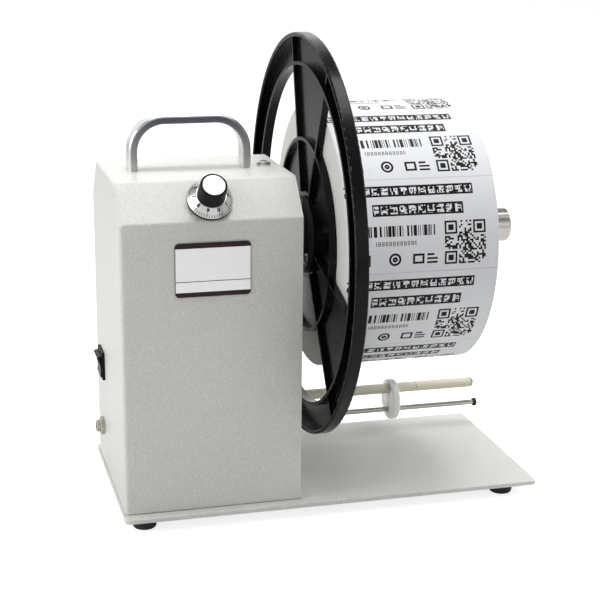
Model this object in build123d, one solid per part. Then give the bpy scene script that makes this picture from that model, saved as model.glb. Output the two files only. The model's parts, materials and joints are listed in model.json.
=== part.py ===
from build123d import *
import os
from math import asin, cos, degrees, hypot, radians, sin, tan

# Motor driven bench rewinder for label rolls. Millimetres, +Z up.
# The origin is on the bench, under the middle of the machine's overall length,
# with the spindle axis in the plane Y = 0. -Y is the front, +X the spindle end.

# ---------------------------------------------------------------- driving sizes

# Base plate and feet
base_length = 304.0
base_depth = 152.0
base_thickness = 3.0
base_corner_radius = 4.0
base_left_overhang = 1.0
foot_height = 8.5
foot_top_radius = 9.3
foot_bottom_radius = 8.0
foot_inset_left = 15.0
foot_inset_right = 22.5
foot_inset_y = 15.0
side_screw_span = 80.0
tab_screw_span = 70.0

# Sheet metal housing
housing_width = 125.0
housing_depth = 134.0
housing_height = 229.0
front_slope_rise = 24.5
front_slope_depth = 22.0
rear_slope_rise = 24.5
rear_slope_depth = 22.0
cover_wall = 1.2
fold_radius = 3.0
seam_gap = 0.5
cover_tab_thickness = 1.5
cover_tab_height = 12.0
cover_tab_setback = 5.0
side_plate_thickness = 3.0
flange_thickness = 2.0
flange_reach = 16.0
top_flange_length = 60.0
foot_flange_length = 110.0
rear_flange_margin = 20.0
screw_line = 11.7
rear_screw_heights = (60.0, 160.0)

# Carry handle
handle_span = 80.0
handle_offset = -3.0
handle_rise = 38.0
handle_bar_thickness = 6.0
handle_bar_depth = 16.0
handle_outer_radius = 25.0
handle_edge_radius = 1.6

# Name plate
name_plate_width = 52.0
name_plate_height = 37.0
name_plate_thickness = 0.8
name_plate_corner = 3.0
name_plate_drop = 32.5

# Speed knob, on the front slope
knob_up_slope = 15.6
knob_gap = 0.8
knob_rim_radius = 15.3
knob_rim_height = 1.9
knob_skirt_top_radius = 10.2
knob_skirt_height = 5.8
knob_skirt_wall = 0.4
knob_grip_radius = 9.6
knob_top_radius = 9.1
knob_height = 20.6
knob_hollow_radius = 7.8
knob_hollow_height = 6.0
knob_cap_radius = 7.6
knob_cap_sink = 0.8
knob_cap_rise = 0.3
pot_body_radius = 8.5
pot_body_depth = 9.5
pot_bush_radius = 3.5
pot_bush_height = 5.5
pot_shaft_radius = 3.0
pot_shaft_height = 15.0
pot_nut_flats = 10.0
pot_nut_thickness = 2.0

# Rocker switch and power inlet, on the left wall
side_controls_y = 35.0
switch_height = 79.5
bezel_height = 21.0
bezel_width = 25.0
bezel_thickness = 2.0
switch_opening_height = 17.6
switch_opening_width = 20.0
switch_body_width = 22.0
switch_body_height = 19.0
switch_body_depth = 16.0
rocker_depth = 6.0
rocker_tilt = 9.0
rocker_pivot_depth = 1.5
trunnion_radius = 1.2
inlet_height = 30.0
inlet_barrel_radius = 4.6
inlet_stand_off = 6.0
inlet_nut_flats = 12.5
inlet_nut_thickness = 3.2
inlet_socket_radius = 3.2
inlet_pin_radius = 1.05
inlet_flange_radius = 6.5
inlet_body_radius = 5.0
inlet_body_depth = 14.0

# Spindle and its bearings
spindle_height = 177.0
spindle_radius = 12.5
spindle_reach = 176.0
spindle_chamfer = 1.2
spindle_start_gap = 1.5
shoulder_radius = 9.5
journal_radius = 7.5
tail_radius = 6.0
bearing_radius = 17.5
bearing_width = 11.0
bearing_land = 2.7
bearing_inset = 0.8
bearing_stop = 2.5
bearing_housing_length = 50.0
barrel_wall = 4.5
bearing_flange_size = 64.0
bearing_flange_thickness = 6.0
bearing_flange_corner = 6.0
bearing_screw_offset = 25.0
retaining_ring_radius = 10.5
retaining_ring_width = 1.0
retaining_groove_depth = 0.8

# Reel flange
flange_gap = 13.5
flange_width = 9.0
flange_radius = 144.5
flange_lip = 3.2
flange_web = 1.6
rim_width = 20.5
inner_lip_wall = 2.5
inner_lip_drop = 2.2
hub_ring_radius = 70.5
hub_ring_wall = 2.4
rib_drop = 4.2
rib_thickness = 2.0
spoke_count = 3
spoke_start_angle = 84.5
spoke_half_angle = 19.6
window_corner_radius = 4.0
hub_pad_radius = 32.0
hub_pad_thickness = 3.0

# Aluminium hub that carries the reel flange
hub_disc_radius = 28.0
hub_disc_thickness = 4.0
hub_boss_radius = 18.0
hub_boss_length = 8.5
hub_screw_circle = 23.0
hub_screw_count = 3
set_screw_turns = (20.0, 110.0)

# Core and label roll
core_clearance = 0.2
core_wall = 4.0
roll_width = 108.0
roll_radius = 95.5
roll_gap = 0.5
grip_ring_section = 1.2
grip_ring_inset = 25.0
grip_groove_clearance = 0.05

# Belt drive and gear motor
pulley_plane = 71.0
spindle_pulley_radius = 30.0
motor_pulley_radius = 12.5
pulley_width = 12.0
belt_radius = 2.5
groove_half_angle = 25.0
groove_rim = 0.8
groove_root_gap = 1.0
pulley_hub_radius = 11.0
pulley_hub_length = 7.0
pulley_recess_depth = 3.0
pulley_rim_depth = 6.0
lightening_hole_radius = 3.5
lightening_hole_count = 6
motor_pulley_hub_radius = 8.0
motor_pulley_hub_length = 5.5
motor_height = 85.0
motor_shaft_radius = 3.0
motor_shaft_offset = 7.0
gearbox_radius = 18.5
gearbox_length = 22.0
gearbox_boss_radius = 6.0
motor_screw_circle = 15.0
motor_can_radius = 17.2
motor_can_length = 31.0
bracket_thickness = 2.5
bracket_width = 50.0
bracket_foot = 26.0
bracket_gap = 2.5
bracket_corner = 6.0
bracket_screw_span = 30.0

# Guide rods behind the roll
rods_y = 54.0
guide_rod_height = 34.5
guide_rod_radius = 2.5
guide_tube_radius = 4.0
guide_tube_reach = 174.5
guide_tube_split = 127.5
tension_bar_height = 17.0
tension_bar_radius = 2.0
tension_bar_reach = 180.5
end_ring_radius = 3.2
end_ring_width = 2.5
rod_shoulder_radius = 5.5
bar_shoulder_radius = 4.5
rod_shoulder_width = 2.5
snap_ring_radius = 3.7
snap_ring_width = 0.8
rod_thread_length = 6.0
edge_guide_radius = 16.0
edge_guide_thickness = 6.0
edge_guide_reach = 107.5
edge_guide_height = 25.5

# Control board
board_length = 50.0
board_depth = 34.0
board_thickness = 1.6
board_lift = 8.0
board_setback = 8.0
board_side = 28.0
board_hole_inset = 4.0

# Fits: radial clearances, and the gap between faces that move past each other
running_fit = 0.06
loose_fit = 0.15
seat_fit = 0.02
belt_gap = 0.3
face_gap = 0.3
panel_gap = 0.2

# Screws: thread radius of each size used
m3 = 1.5
m4 = 2.0
m5 = 2.5

# ---------------------------------------------------------------- derived places

overall_length = inlet_stand_off + housing_width + tension_bar_reach
housing_left = inlet_stand_off - overall_length / 2
housing_right = housing_left + housing_width
plate_inner_face = housing_right - side_plate_thickness
housing_middle = (housing_left + housing_right) / 2
base_left = housing_left - base_left_overhang
base_middle = base_left + base_length / 2
plate_top = foot_height + base_thickness
housing_top = plate_top + housing_height
front_bend_height = housing_height - front_slope_rise
rear_bend_height = housing_height - rear_slope_rise
housing_front = -housing_depth / 2
housing_back = housing_depth / 2
spindle_z = plate_top + spindle_height
motor_z = plate_top + motor_height
guide_rod_z = plate_top + guide_rod_height
tension_bar_z = plate_top + tension_bar_height
edge_guide_z = plate_top + edge_guide_height
reel_roll_face = housing_right + flange_gap + flange_width
hub_face = reel_roll_face - hub_pad_thickness
roll_start = reel_roll_face + roll_gap
pulley_x = housing_right - pulley_plane
pulley_back = pulley_x - pulley_width / 2
pulley_front = pulley_x + pulley_width / 2

# Sizes that follow from what they fit
bearing_barrel_radius = bearing_radius + barrel_wall
core_bore_radius = spindle_radius + core_clearance
core_radius = core_bore_radius + core_wall
inner_lip_radius = flange_radius - rim_width
hub_top = hub_pad_thickness + hub_disc_thickness
set_screw_height = hub_top + hub_boss_length / 2

slope_length = hypot(front_slope_depth, front_slope_rise)
slope_up = Vector(0, front_slope_depth / slope_length, front_slope_rise / slope_length)
slope_normal = Vector(0, -slope_up.Z, slope_up.Y)
slope_start = Vector(housing_middle, housing_front, plate_top + front_bend_height)
knob_plane = Plane(slope_start + slope_up * knob_up_slope, x_dir=(1, 0, 0), z_dir=slope_normal)

# Planes whose local Z points out of the left wall, and from the roll towards the housing
left_wall = Plane((housing_left, side_controls_y, plate_top), x_dir=(0, -1, 0), z_dir=(-1, 0, 0))
reel_plane = Plane((reel_roll_face, 0, spindle_z), x_dir=(0, -1, 0), z_dir=(-1, 0, 0))

parts = {}


# ---------------------------------------------------------------- shared shapes

def along_x(radius, start, end, y, z):
    """A round bar along X."""
    bar = Cylinder(radius, end - start, align=(Align.CENTER, Align.CENTER, Align.MIN))
    return Pos(start, y, z) * Rot(0, 90, 0) * bar


def standing(radius, bottom, top, x=0.0, y=0.0):
    """A round bar along Z."""
    bar = Cylinder(radius, top - bottom, align=(Align.CENTER, Align.CENTER, Align.MIN))
    return Pos(x, y, bottom) * bar


def block(x_range, y_range, z_range):
    """A box between two corners."""
    size = [high - low for low, high in (x_range, y_range, z_range)]
    middle = [(high + low) / 2 for low, high in (x_range, y_range, z_range)]
    return Pos(*middle) * Box(*size)


def turned(profile, y, z):
    """A solid turned about an axis along X, from (x, radius) points."""
    outline = make_face(Polyline(*[(x, 0, radius) for x, radius in profile], close=True))
    return Pos(0, y, z) * revolve(outline, Axis.X)


def turned_up(profile):
    """A solid turned about Z, from (radius, height) points."""
    outline = make_face(Polyline(*[(radius, 0, height) for radius, height in profile], close=True))
    return revolve(outline, Axis.Z)


def on_circle(count, radius, start=0.0):
    """Places evenly spaced on a circle about Z, each turned to face outwards."""
    return [Rot(0, 0, start + 360 * i / count) * Pos(radius, 0, 0) for i in range(count)]


def round_edges(body, axis, places, radius):
    """Rounds the circular edges of a turned body that lie at the given places along axis."""
    index = {Axis.X: 0, Axis.Z: 2}[axis]
    wanted = []
    for edge in body.edges().filter_by(GeomType.CIRCLE):
        centre = tuple(edge.arc_center)
        for place, edge_radius in places:
            if abs(centre[index] - place) < 0.01 and abs(edge.radius - edge_radius) < 0.01:
                wanted.append(edge)
    return fillet(wanted, radius)


def pan_screw(thread, length, recess=False):
    """A pan head screw that points down, with the underside of its head at Z = 0."""
    head_radius = 2 * thread
    head_height = 1.2 * thread
    screw = turned_up([
        (0, -length), (0.75 * thread, -length), (thread, 0.25 * thread - length), (thread, 0),
        (head_radius, 0), (head_radius, 0.45 * head_height), (0.88 * head_radius, 0.8 * head_height),
        (0.6 * head_radius, head_height), (0, head_height),
    ])
    if recess:
        arm = (1.7 * thread, 0.35 * thread, 0.9 * thread)
        screw -= Pos(0, 0, head_height) * (Box(*arm) + Box(arm[1], arm[0], arm[2]))
    return screw


def set_screw(thread, length):
    """A headless screw that points down, with its top at Z = 0 and a hexagon socket."""
    socket = extrude(RegularPolygon(0.6 * thread, 6), -0.4 * length)
    return standing(thread, -length, 0) - socket


def hexagon_nut(flats, thickness, bore):
    """A hexagon nut standing on Z = 0, with chamfered corners."""
    nut = extrude(RegularPolygon(flats / 2, 6, major_radius=False), thickness)
    crown = turned_up([
        (0, 0), (0.55 * flats, 0), (0.55 * flats, 0.75 * thickness), (0.46 * flats, thickness), (0, thickness),
    ])
    return (nut & crown) - standing(bore, -1, thickness + 1)


def group(shapes):
    """Separate solids that share one node."""
    return Compound(children=[solid for shape in shapes for solid in shape.solids()])


# ---------------------------------------------------------------- base

foot_places = [
    (base_left + foot_inset_left, side * (base_depth / 2 - foot_inset_y)) for side in (-1, 1)
] + [
    (base_left + base_length - foot_inset_right, side * (base_depth / 2 - foot_inset_y)) for side in (-1, 1)
]
bracket_back = pulley_front + bracket_gap
bracket_front = bracket_back + bracket_thickness


def screw_pair(x, span):
    """Two screw places, a span apart across the machine."""
    return [(x, -span / 2), (x, span / 2)]


side_flange_screws = screw_pair(plate_inner_face - flange_reach / 2, side_screw_span)
cover_tab_screws = screw_pair(housing_left + cover_wall + flange_reach / 2, tab_screw_span)
bracket_screws = screw_pair(bracket_front + bracket_foot / 2, bracket_screw_span)
base_screw_places = side_flange_screws + cover_tab_screws + bracket_screws


def base_plate():
    plate = block(
        (base_left, base_left + base_length), (-base_depth / 2, base_depth / 2), (foot_height, plate_top))
    plate = fillet(plate.edges().filter_by(Axis.Z), base_corner_radius)
    plate = fillet(plate.faces().sort_by(Axis.Z)[-1].edges(), 0.6)
    for x, y in base_screw_places:
        plate -= standing(m4 + loose_fit, foot_height - 1, plate_top + 1, x, y)
    return plate


def rubber_foot():
    foot = turned_up([(0, 0), (foot_bottom_radius, 0), (foot_top_radius, foot_height), (0, foot_height)])
    return round_edges(foot, Axis.Z, [(0, foot_bottom_radius)], 1.5)


parts["base_plate"] = base_plate()
parts["rubber_feet"] = group([Pos(x, y, 0) * rubber_foot() for x, y in foot_places])


# ---------------------------------------------------------------- housing

top_screw_place = (housing_right - screw_line, 0.0)
rear_screw_places = [(housing_right - screw_line, plate_top + height) for height in rear_screw_heights]
handle_leg_x = [housing_middle + handle_offset + side * handle_span / 2 for side in (-1, 1)]
switch_plane = left_wall * Pos(0, switch_height, 0)
inlet_plane = left_wall * Pos(0, inlet_height, 0)
cover_bottom = plate_top + seam_gap
bearing_screw_places = [
    (y * bearing_screw_offset, spindle_z + z * bearing_screw_offset) for y in (-1, 1) for z in (-1, 1)]


def housing_outline(inset):
    """Side outline of the housing moved inwards by inset, run on below the base plate's top."""
    low = plate_top - 30
    front_bend = plate_top + front_bend_height
    rear_bend = plate_top + rear_bend_height
    corners = [
        (housing_front, low), (housing_front, front_bend),
        (housing_front + front_slope_depth, housing_top),
        (housing_back - rear_slope_depth, housing_top),
        (housing_back, rear_bend), (housing_back, low),
    ]
    outline = make_face(Polyline(*corners, close=True))
    return offset(outline, -inset, kind=Kind.INTERSECTION) if inset else outline


def housing_block(inset, left, right, radius):
    """A block of the housing's outline, its folds and left rim rounded."""
    body = extrude(Plane.YZ.offset(left) * housing_outline(inset), right - left)
    folds = body.edges().filter_by(Axis.X).filter_by(lambda e: e.center().Z > plate_top)
    rim = body.faces().sort_by(Axis.X)[0].edges().filter_by(lambda e: e.center().Z > plate_top - 20)
    return fillet(folds + rim, radius)


def cover_tab():
    """The angle inside the left wall that the cover is screwed down by."""
    inner = housing_left + cover_wall
    along = (housing_front + cover_tab_setback, housing_back - cover_tab_setback)
    foot = block((inner, inner + flange_reach), along, (plate_top, plate_top + cover_tab_thickness))
    leg = block((inner, inner + cover_tab_thickness), along, (plate_top, plate_top + cover_tab_height))
    return foot + leg


def housing_cover():
    shell = housing_block(0, housing_left, housing_right, fold_radius)
    shell -= housing_block(cover_wall, housing_left + cover_wall, housing_right + 1, fold_radius - cover_wall)
    keep = block(
        (housing_left - 1, housing_right + 1), (housing_front - 1, housing_back + 1),
        (cover_bottom, housing_top + 1))
    shell = (shell & keep) + cover_tab()
    x, y = top_screw_place
    shell -= standing(m5 + loose_fit, housing_top - 5, housing_top + 1, x, y)
    for leg_x in handle_leg_x:
        shell -= standing(m4 + loose_fit, housing_top - 5, housing_top + 1, leg_x, 0)
    for x, z in rear_screw_places:
        shell -= Pos(x, housing_back, z) * Rot(90, 0, 0) * Cylinder(m5 + loose_fit, 10)
    shell -= knob_plane * Cylinder(pot_bush_radius + loose_fit, 10)
    shell -= switch_plane * Box(switch_body_width + 2 * panel_gap, switch_body_height + 2 * panel_gap, 10)
    shell -= inlet_plane * Cylinder(inlet_barrel_radius + loose_fit, 10)
    for x, y in cover_tab_screws:
        shell -= standing(m4 + running_fit, plate_top - 1, plate_top + 5, x, y)
    return shell


def side_plate():
    """Inner frame: the right wall with flanges that the cover and base are screwed to."""
    inset = cover_wall + face_gap
    left = plate_inner_face
    inner_back = housing_back - inset
    inner_top = housing_top - inset
    wall = extrude(Plane.YZ.offset(left) * housing_outline(inset), side_plate_thickness)
    wall &= block((left, housing_right), (housing_front, housing_back), (plate_top, housing_top))
    reach = (left - flange_reach, left)
    half_top, half_foot = top_flange_length / 2, foot_flange_length / 2
    rear_low = plate_top + min(rear_screw_heights) - rear_flange_margin
    rear_high = plate_top + max(rear_screw_heights) + rear_flange_margin
    wall += block(reach, (-half_top, half_top), (inner_top - flange_thickness, inner_top))
    wall += block(reach, (-half_foot, half_foot), (plate_top, plate_top + flange_thickness))
    wall += block(reach, (inner_back - flange_thickness, inner_back), (rear_low, rear_high))
    x, y = top_screw_place
    wall -= standing(m5 + running_fit, inner_top - 5, inner_top + 1, x, y)
    for x, z in rear_screw_places:
        wall -= Pos(x, inner_back, z) * Rot(90, 0, 0) * Cylinder(m5 + running_fit, 10)
    for x, y in side_flange_screws:
        wall -= standing(m4 + running_fit, plate_top - 1, plate_top + 5, x, y)
    wall -= along_x(bearing_barrel_radius + loose_fit, left - 1, housing_right + 1, 0, spindle_z)
    for y, z in bearing_screw_places:
        wall -= along_x(m4 + running_fit, left - 1, housing_right + 1, y, z)
    wall -= along_x(guide_rod_radius + running_fit, left - 1, housing_right + 1, rods_y, guide_rod_z)
    wall -= along_x(tension_bar_radius + running_fit, left - 1, housing_right + 1, rods_y, tension_bar_z)
    return wall


def cover_screws():
    """The screw on the top and the two at the back, all into the side plate's flanges."""
    x, y = top_screw_place
    screw = pan_screw(m5, 8.0, recess=True)
    screws = [Pos(x, y, housing_top) * screw]
    screws += [Pos(x, housing_back, z) * Rot(-90, 0, 0) * screw for x, z in rear_screw_places]
    return group(screws)


parts["housing_cover"] = housing_cover()
parts["side_plate"] = side_plate()
parts["cover_screws"] = cover_screws()
parts["base_screws"] = group([
    Pos(x, y, foot_height) * Rot(180, 0, 0) * pan_screw(m4, 6.0) for x, y in base_screw_places])


# ---------------------------------------------------------------- handle and name plate

def carry_handle():
    """A flat bar bent to a U, its legs standing on the cover."""
    left, right = handle_leg_x
    middle_z = housing_top + handle_rise - handle_bar_thickness / 2
    bend = handle_outer_radius - handle_bar_thickness / 2
    path = FilletPolyline(
        (left, 0, housing_top), (left, 0, middle_z), (right, 0, middle_z), (right, 0, housing_top),
        radius=bend)
    section = Plane.XY.offset(housing_top) * Pos(left, 0) * RectangleRounded(
        handle_bar_thickness, handle_bar_depth, handle_edge_radius)
    bar = sweep(section, path=path)
    for x in handle_leg_x:
        bar -= standing(m4 + running_fit, housing_top - 1, housing_top + 11, x, 0)
    return bar


def name_plate():
    outline = RectangleRounded(name_plate_width, name_plate_height, name_plate_corner)
    height = plate_top + front_bend_height - name_plate_drop
    place = Plane((housing_middle, housing_front, height), x_dir=(1, 0, 0), z_dir=(0, -1, 0))
    return place * extrude(outline, name_plate_thickness)


parts["carry_handle"] = carry_handle()
parts["handle_screws"] = group([
    Pos(x, 0, housing_top - cover_wall) * Rot(180, 0, 0) * pan_screw(m4, 10.0) for x in handle_leg_x])
parts["name_plate"] = name_plate()


# ---------------------------------------------------------------- speed control

def knob_body():
    """Black rim and tapered grip, hollow underneath to clear the panel nut."""
    rim_top = knob_gap + knob_rim_height
    grip_foot = rim_top + knob_skirt_height
    body = turned_up([
        (0, knob_gap), (knob_rim_radius, knob_gap), (knob_rim_radius, rim_top),
        (knob_grip_radius, grip_foot - knob_skirt_wall), (knob_grip_radius, grip_foot),
        (knob_top_radius, knob_height), (0, knob_height),
    ])
    body = round_edges(body, Axis.Z, [(knob_height, knob_top_radius)], 0.5)
    body -= standing(knob_hollow_radius, 0, knob_hollow_height)
    body -= standing(pot_shaft_radius + seat_fit, 0, pot_shaft_height + 0.5)
    body -= standing(knob_cap_radius + seat_fit, knob_height - knob_cap_sink, knob_height + 1)
    return knob_plane * body


def knob_skirt():
    """Thin silver cone with the dial, pressed over the black rim."""
    low = knob_gap + knob_rim_height
    high = low + knob_skirt_height
    skirt = turned_up([
        (knob_grip_radius + seat_fit, high - knob_skirt_wall), (knob_rim_radius, low),
        (knob_rim_radius, low + knob_skirt_wall), (knob_skirt_top_radius, high),
        (knob_grip_radius + seat_fit, high),
    ])
    return knob_plane * skirt


def knob_cap():
    top = knob_height + knob_cap_rise
    cap = standing(knob_cap_radius, knob_height - knob_cap_sink, top)
    return knob_plane * round_edges(cap, Axis.Z, [(top, knob_cap_radius)], 0.3)


def potentiometer():
    """Round body behind the slope, its threaded bush through the cover."""
    body = standing(pot_body_radius, -cover_wall - pot_body_depth, -cover_wall)
    body += standing(pot_bush_radius, -cover_wall, pot_bush_height)
    lugs = Pos(0, -pot_body_radius, -cover_wall - 4.0)
    for x in (-5.0, 0.0, 5.0):
        body += lugs * Pos(x, -1.5, 0) * Box(1.6, 7.0, 0.6)
    return knob_plane * (body - standing(pot_shaft_radius + running_fit, -5, pot_bush_height + 1))


def potentiometer_nut():
    return knob_plane * hexagon_nut(pot_nut_flats, pot_nut_thickness, pot_bush_radius + seat_fit)


parts["knob_body"] = knob_body()
parts["knob_skirt"] = knob_skirt()
parts["knob_cap"] = knob_cap()
parts["potentiometer"] = potentiometer()
parts["potentiometer_nut"] = potentiometer_nut()
parts["potentiometer_shaft"] = knob_plane * standing(pot_shaft_radius, -4.5, pot_shaft_height)


# ---------------------------------------------------------------- rocker switch

def switch_body():
    """Bezel outside the wall and the box behind it, open for the rocker."""
    bezel = extrude(RectangleRounded(bezel_width, bezel_height, 1.5), bezel_thickness)
    bezel = fillet(bezel.faces().sort_by(Axis.Z)[-1].edges(), 0.6)
    body = bezel + Pos(0, 0, -switch_body_depth / 2) * Box(
        switch_body_width, switch_body_height, switch_body_depth)
    body -= Box(switch_opening_width, switch_opening_height, 2 * rocker_depth)
    for side in (-1, 1):
        hole = Cylinder(trunnion_radius + running_fit, 2.0)
        body -= Pos(side * switch_opening_width / 2, 0, -rocker_pivot_depth) * Rot(0, 90, 0) * hole
    for x in (-6.0, 6.0):
        for y in (-6.0, 0.0, 6.0):
            body += Pos(x, y, -switch_body_depth - 3) * Box(0.8, 4.8, 8)
    return switch_plane * body


def switch_rocker():
    """Paddle with a hollowed face, turned about its trunnions, upper end out."""
    half = switch_opening_height / 2 - 0.8
    ends = 4.6
    face = make_face(
        ThreePointArc((half, ends), (0, ends - 1.5), (-half, ends))
        + Line((-half, ends), (-half, -0.5))
        + ThreePointArc((-half, -0.5), (0, -4.2), (half, -0.5))
        + Line((half, -0.5), (half, ends)))
    width = switch_opening_width - 2 * face_gap
    paddle = extrude(Plane.YZ * face, width / 2, both=True)
    paddle = fillet(paddle.edges().filter_by(Axis.X).filter_by(lambda e: e.center().Z > 0), 0.7)
    pivot = Pos(0, 0, -rocker_pivot_depth)
    paddle += pivot * Rot(0, 90, 0) * Cylinder(trunnion_radius, switch_opening_width + 1.2)
    turn = pivot * Rot(rocker_tilt, 0, 0) * pivot.inverse()
    return switch_plane * turn * paddle


parts["switch_body"] = switch_body()
parts["switch_rocker"] = switch_rocker()


# ---------------------------------------------------------------- power inlet

def power_inlet():
    """Threaded barrel through the left wall, with its socket and centre pin."""
    body = standing(inlet_barrel_radius, -cover_wall, inlet_stand_off)
    body = round_edges(body, Axis.Z, [(inlet_stand_off, inlet_barrel_radius)], 0.5)
    body += standing(inlet_flange_radius, -cover_wall - 2.0, -cover_wall)
    body += standing(inlet_body_radius, -inlet_body_depth, -cover_wall)
    body -= standing(inlet_socket_radius, -6.0, inlet_stand_off + 1)
    body += standing(inlet_pin_radius, -7.0, inlet_stand_off - 2.0)
    for x in (-2.5, 2.5):
        body += Pos(x, 0, -inlet_body_depth - 3) * Box(2.4, 0.6, 7)
    return inlet_plane * body


parts["power_inlet"] = power_inlet()
parts["inlet_nut"] = inlet_plane * hexagon_nut(
    inlet_nut_flats, inlet_nut_thickness, inlet_barrel_radius + seat_fit)


# ---------------------------------------------------------------- spindle

front_bearing = (housing_right - bearing_inset - bearing_width, housing_right - bearing_inset)
rear_bearing = (
    housing_right - bearing_housing_length, housing_right - bearing_housing_length + bearing_width)
tail_end = pulley_back - 3.0
ring_groove = rear_bearing[0] - 1.2
ring_groove_radius = journal_radius - retaining_groove_depth


def bearing_housing():
    """Flanged barrel behind the side plate that seats both bearings."""
    flange_x = (plate_inner_face - bearing_flange_thickness, plate_inner_face)
    half = bearing_flange_size / 2
    body = block(flange_x, (-half, half), (spindle_z - half, spindle_z + half))
    body = fillet(body.edges().filter_by(Axis.X), bearing_flange_corner)
    body += along_x(bearing_barrel_radius, rear_bearing[0], housing_right, 0, spindle_z)
    bore = turned([
        (rear_bearing[0] - 1, 0), (rear_bearing[0] - 1, bearing_radius + seat_fit),
        (rear_bearing[1], bearing_radius + seat_fit), (rear_bearing[1], bearing_radius - bearing_stop),
        (front_bearing[0], bearing_radius - bearing_stop), (front_bearing[0], bearing_radius + seat_fit),
        (housing_right + 1, bearing_radius + seat_fit), (housing_right + 1, 0),
    ], 0, spindle_z)
    body -= bore
    for y, z in bearing_screw_places:
        body -= along_x(m4 + running_fit, flange_x[0] - 1, flange_x[1] + 1, y, z)
    return body


def bearing_ring(span, inner, outer):
    return along_x(outer, *span, 0, spindle_z) - along_x(inner, span[0] - 1, span[1] + 1, 0, spindle_z)


def spindle_shaft():
    """Stepped shaft: pulley tail, bearing journals, and the bare spindle outside the housing."""
    start = housing_right + spindle_start_gap
    end = housing_right + spindle_reach
    half, floor = grip_groove_half_width, grip_ring_centre - grip_ring_section - grip_groove_clearance
    grip_grooves = []
    for x in grip_ring_places:
        grip_grooves += [
            (x - half, spindle_radius), (x - half, floor), (x + half, floor), (x + half, spindle_radius)]
    shaft = turned([
        (tail_end, 0), (tail_end, tail_radius - 0.6), (tail_end + 0.6, tail_radius),
        (ring_groove - 0.9, tail_radius), (ring_groove - 0.9, journal_radius),
        (ring_groove, journal_radius), (ring_groove, ring_groove_radius),
        (ring_groove + 1.1, ring_groove_radius), (ring_groove + 1.1, journal_radius),
        (front_bearing[1], journal_radius), (front_bearing[1], shoulder_radius), (start, shoulder_radius),
        (start, spindle_radius), *grip_grooves, (end - spindle_chamfer, spindle_radius),
        (end, spindle_radius - spindle_chamfer), (end, 0),
    ], 0, spindle_z)
    centre_hole = turned([(end - 3.0, 0), (end, 1.8), (end + 1, 1.8), (end + 1, 0)], 0, spindle_z)
    return shaft - centre_hole


def retaining_ring():
    """Spring ring in the groove behind the rear bearing, open at the bottom."""
    x = ring_groove + 0.1
    ring = along_x(retaining_ring_radius, x, x + retaining_ring_width, 0, spindle_z)
    ring -= along_x(ring_groove_radius + seat_fit, x - 1, x + 2, 0, spindle_z)
    return ring - block((x - 1, x + 2), (-3, 3), (spindle_z - retaining_ring_radius - 1, spindle_z))


def grooved_pulley(radius, hub_radius, hub_end, bore, z):
    """A pulley with a V groove for the round belt and a hub on one side; radius is at the belt's middle."""
    rim = radius + groove_rim
    root = radius - belt_radius - groove_root_gap
    lean = radians(groove_half_angle)
    reach = belt_radius + belt_gap
    touch_x, touch_radius = reach * cos(lean), radius - reach * sin(lean)
    rim_x = touch_x + (rim - touch_radius) * tan(lean)
    root_x = touch_x - (touch_radius - root) * tan(lean)
    body = turned([
        (pulley_back, bore), (pulley_back, rim), (pulley_x - rim_x, rim), (pulley_x - root_x, root),
        (pulley_x + root_x, root), (pulley_x + rim_x, rim), (pulley_front, rim), (pulley_front, bore),
    ], 0, z)
    hub_start, hub_stop = (hub_end, pulley_back) if hub_end < pulley_back else (pulley_front, hub_end)
    hub = along_x(hub_radius, hub_start, hub_stop, 0, z) - along_x(bore, hub_start - 1, hub_stop + 1, 0, z)
    return body + hub


grip_ring_centre = core_bore_radius - seat_fit - grip_ring_section
grip_groove_half_width = grip_ring_section + grip_groove_clearance
grip_ring_places = [roll_start + grip_ring_inset, roll_start + roll_width - grip_groove_half_width]
spindle_hub_end = pulley_front + pulley_hub_length
pulley_screw_x = pulley_front + pulley_hub_length / 2


def spindle_pulley():
    """Large pulley, lightened by a recess on each side and a ring of holes."""
    body = grooved_pulley(
        spindle_pulley_radius, pulley_hub_radius, spindle_hub_end, tail_radius + seat_fit, spindle_z)
    inner, outer, deep = pulley_hub_radius + 2, spindle_pulley_radius - pulley_rim_depth, pulley_recess_depth
    recess = [(0, inner), (0, outer), (deep, outer - 0.5), (deep, inner + 0.5)]
    body -= turned([(pulley_back + x, r) for x, r in recess], 0, spindle_z)
    body -= turned([(pulley_front - x, r) for x, r in recess], 0, spindle_z)
    hole = standing(lightening_hole_radius, 0, pulley_width + 2)
    for place in on_circle(lightening_hole_count, (inner + outer) / 2):
        body -= Pos(pulley_back - 1, 0, spindle_z) * Rot(0, 90, 0) * place * hole
    screw_hole = standing(m4 + seat_fit, tail_radius - 1, pulley_hub_radius + 1)
    return body - Pos(pulley_screw_x, 0, spindle_z) * screw_hole


parts["bearing_housing"] = bearing_housing()
parts["bearing_outer_rings"] = group([
    bearing_ring(span, journal_radius + bearing_land + 0.1, bearing_radius)
    for span in (front_bearing, rear_bearing)])
parts["bearing_inner_rings"] = group([
    bearing_ring(span, journal_radius + seat_fit, journal_radius + bearing_land)
    for span in (front_bearing, rear_bearing)])
parts["bearing_screws"] = group([
    Pos(plate_inner_face - bearing_flange_thickness, y, z) * Rot(0, -90, 0) * pan_screw(m4, 8.5)
    for y, z in bearing_screw_places])
parts["spindle_shaft"] = spindle_shaft()
parts["retaining_ring"] = retaining_ring()
parts["spindle_pulley"] = spindle_pulley()


# ---------------------------------------------------------------- reel

def spoke_wedge(angle):
    """Plan of one spoke: the ground between the outer faces of its two ribs."""
    reach = 1.5 * flange_radius
    corners = []
    for side in (1, -1):
        direction = Vector(1, 0).rotate(Axis.Z, angle + side * spoke_half_angle)
        sideways = direction.rotate(Axis.Z, side * 90) * (rib_thickness / 2)
        line = [sideways, sideways + direction * reach]
        corners += line if side == 1 else line[::-1]
    return make_face(Polyline(*corners, close=True))


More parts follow.
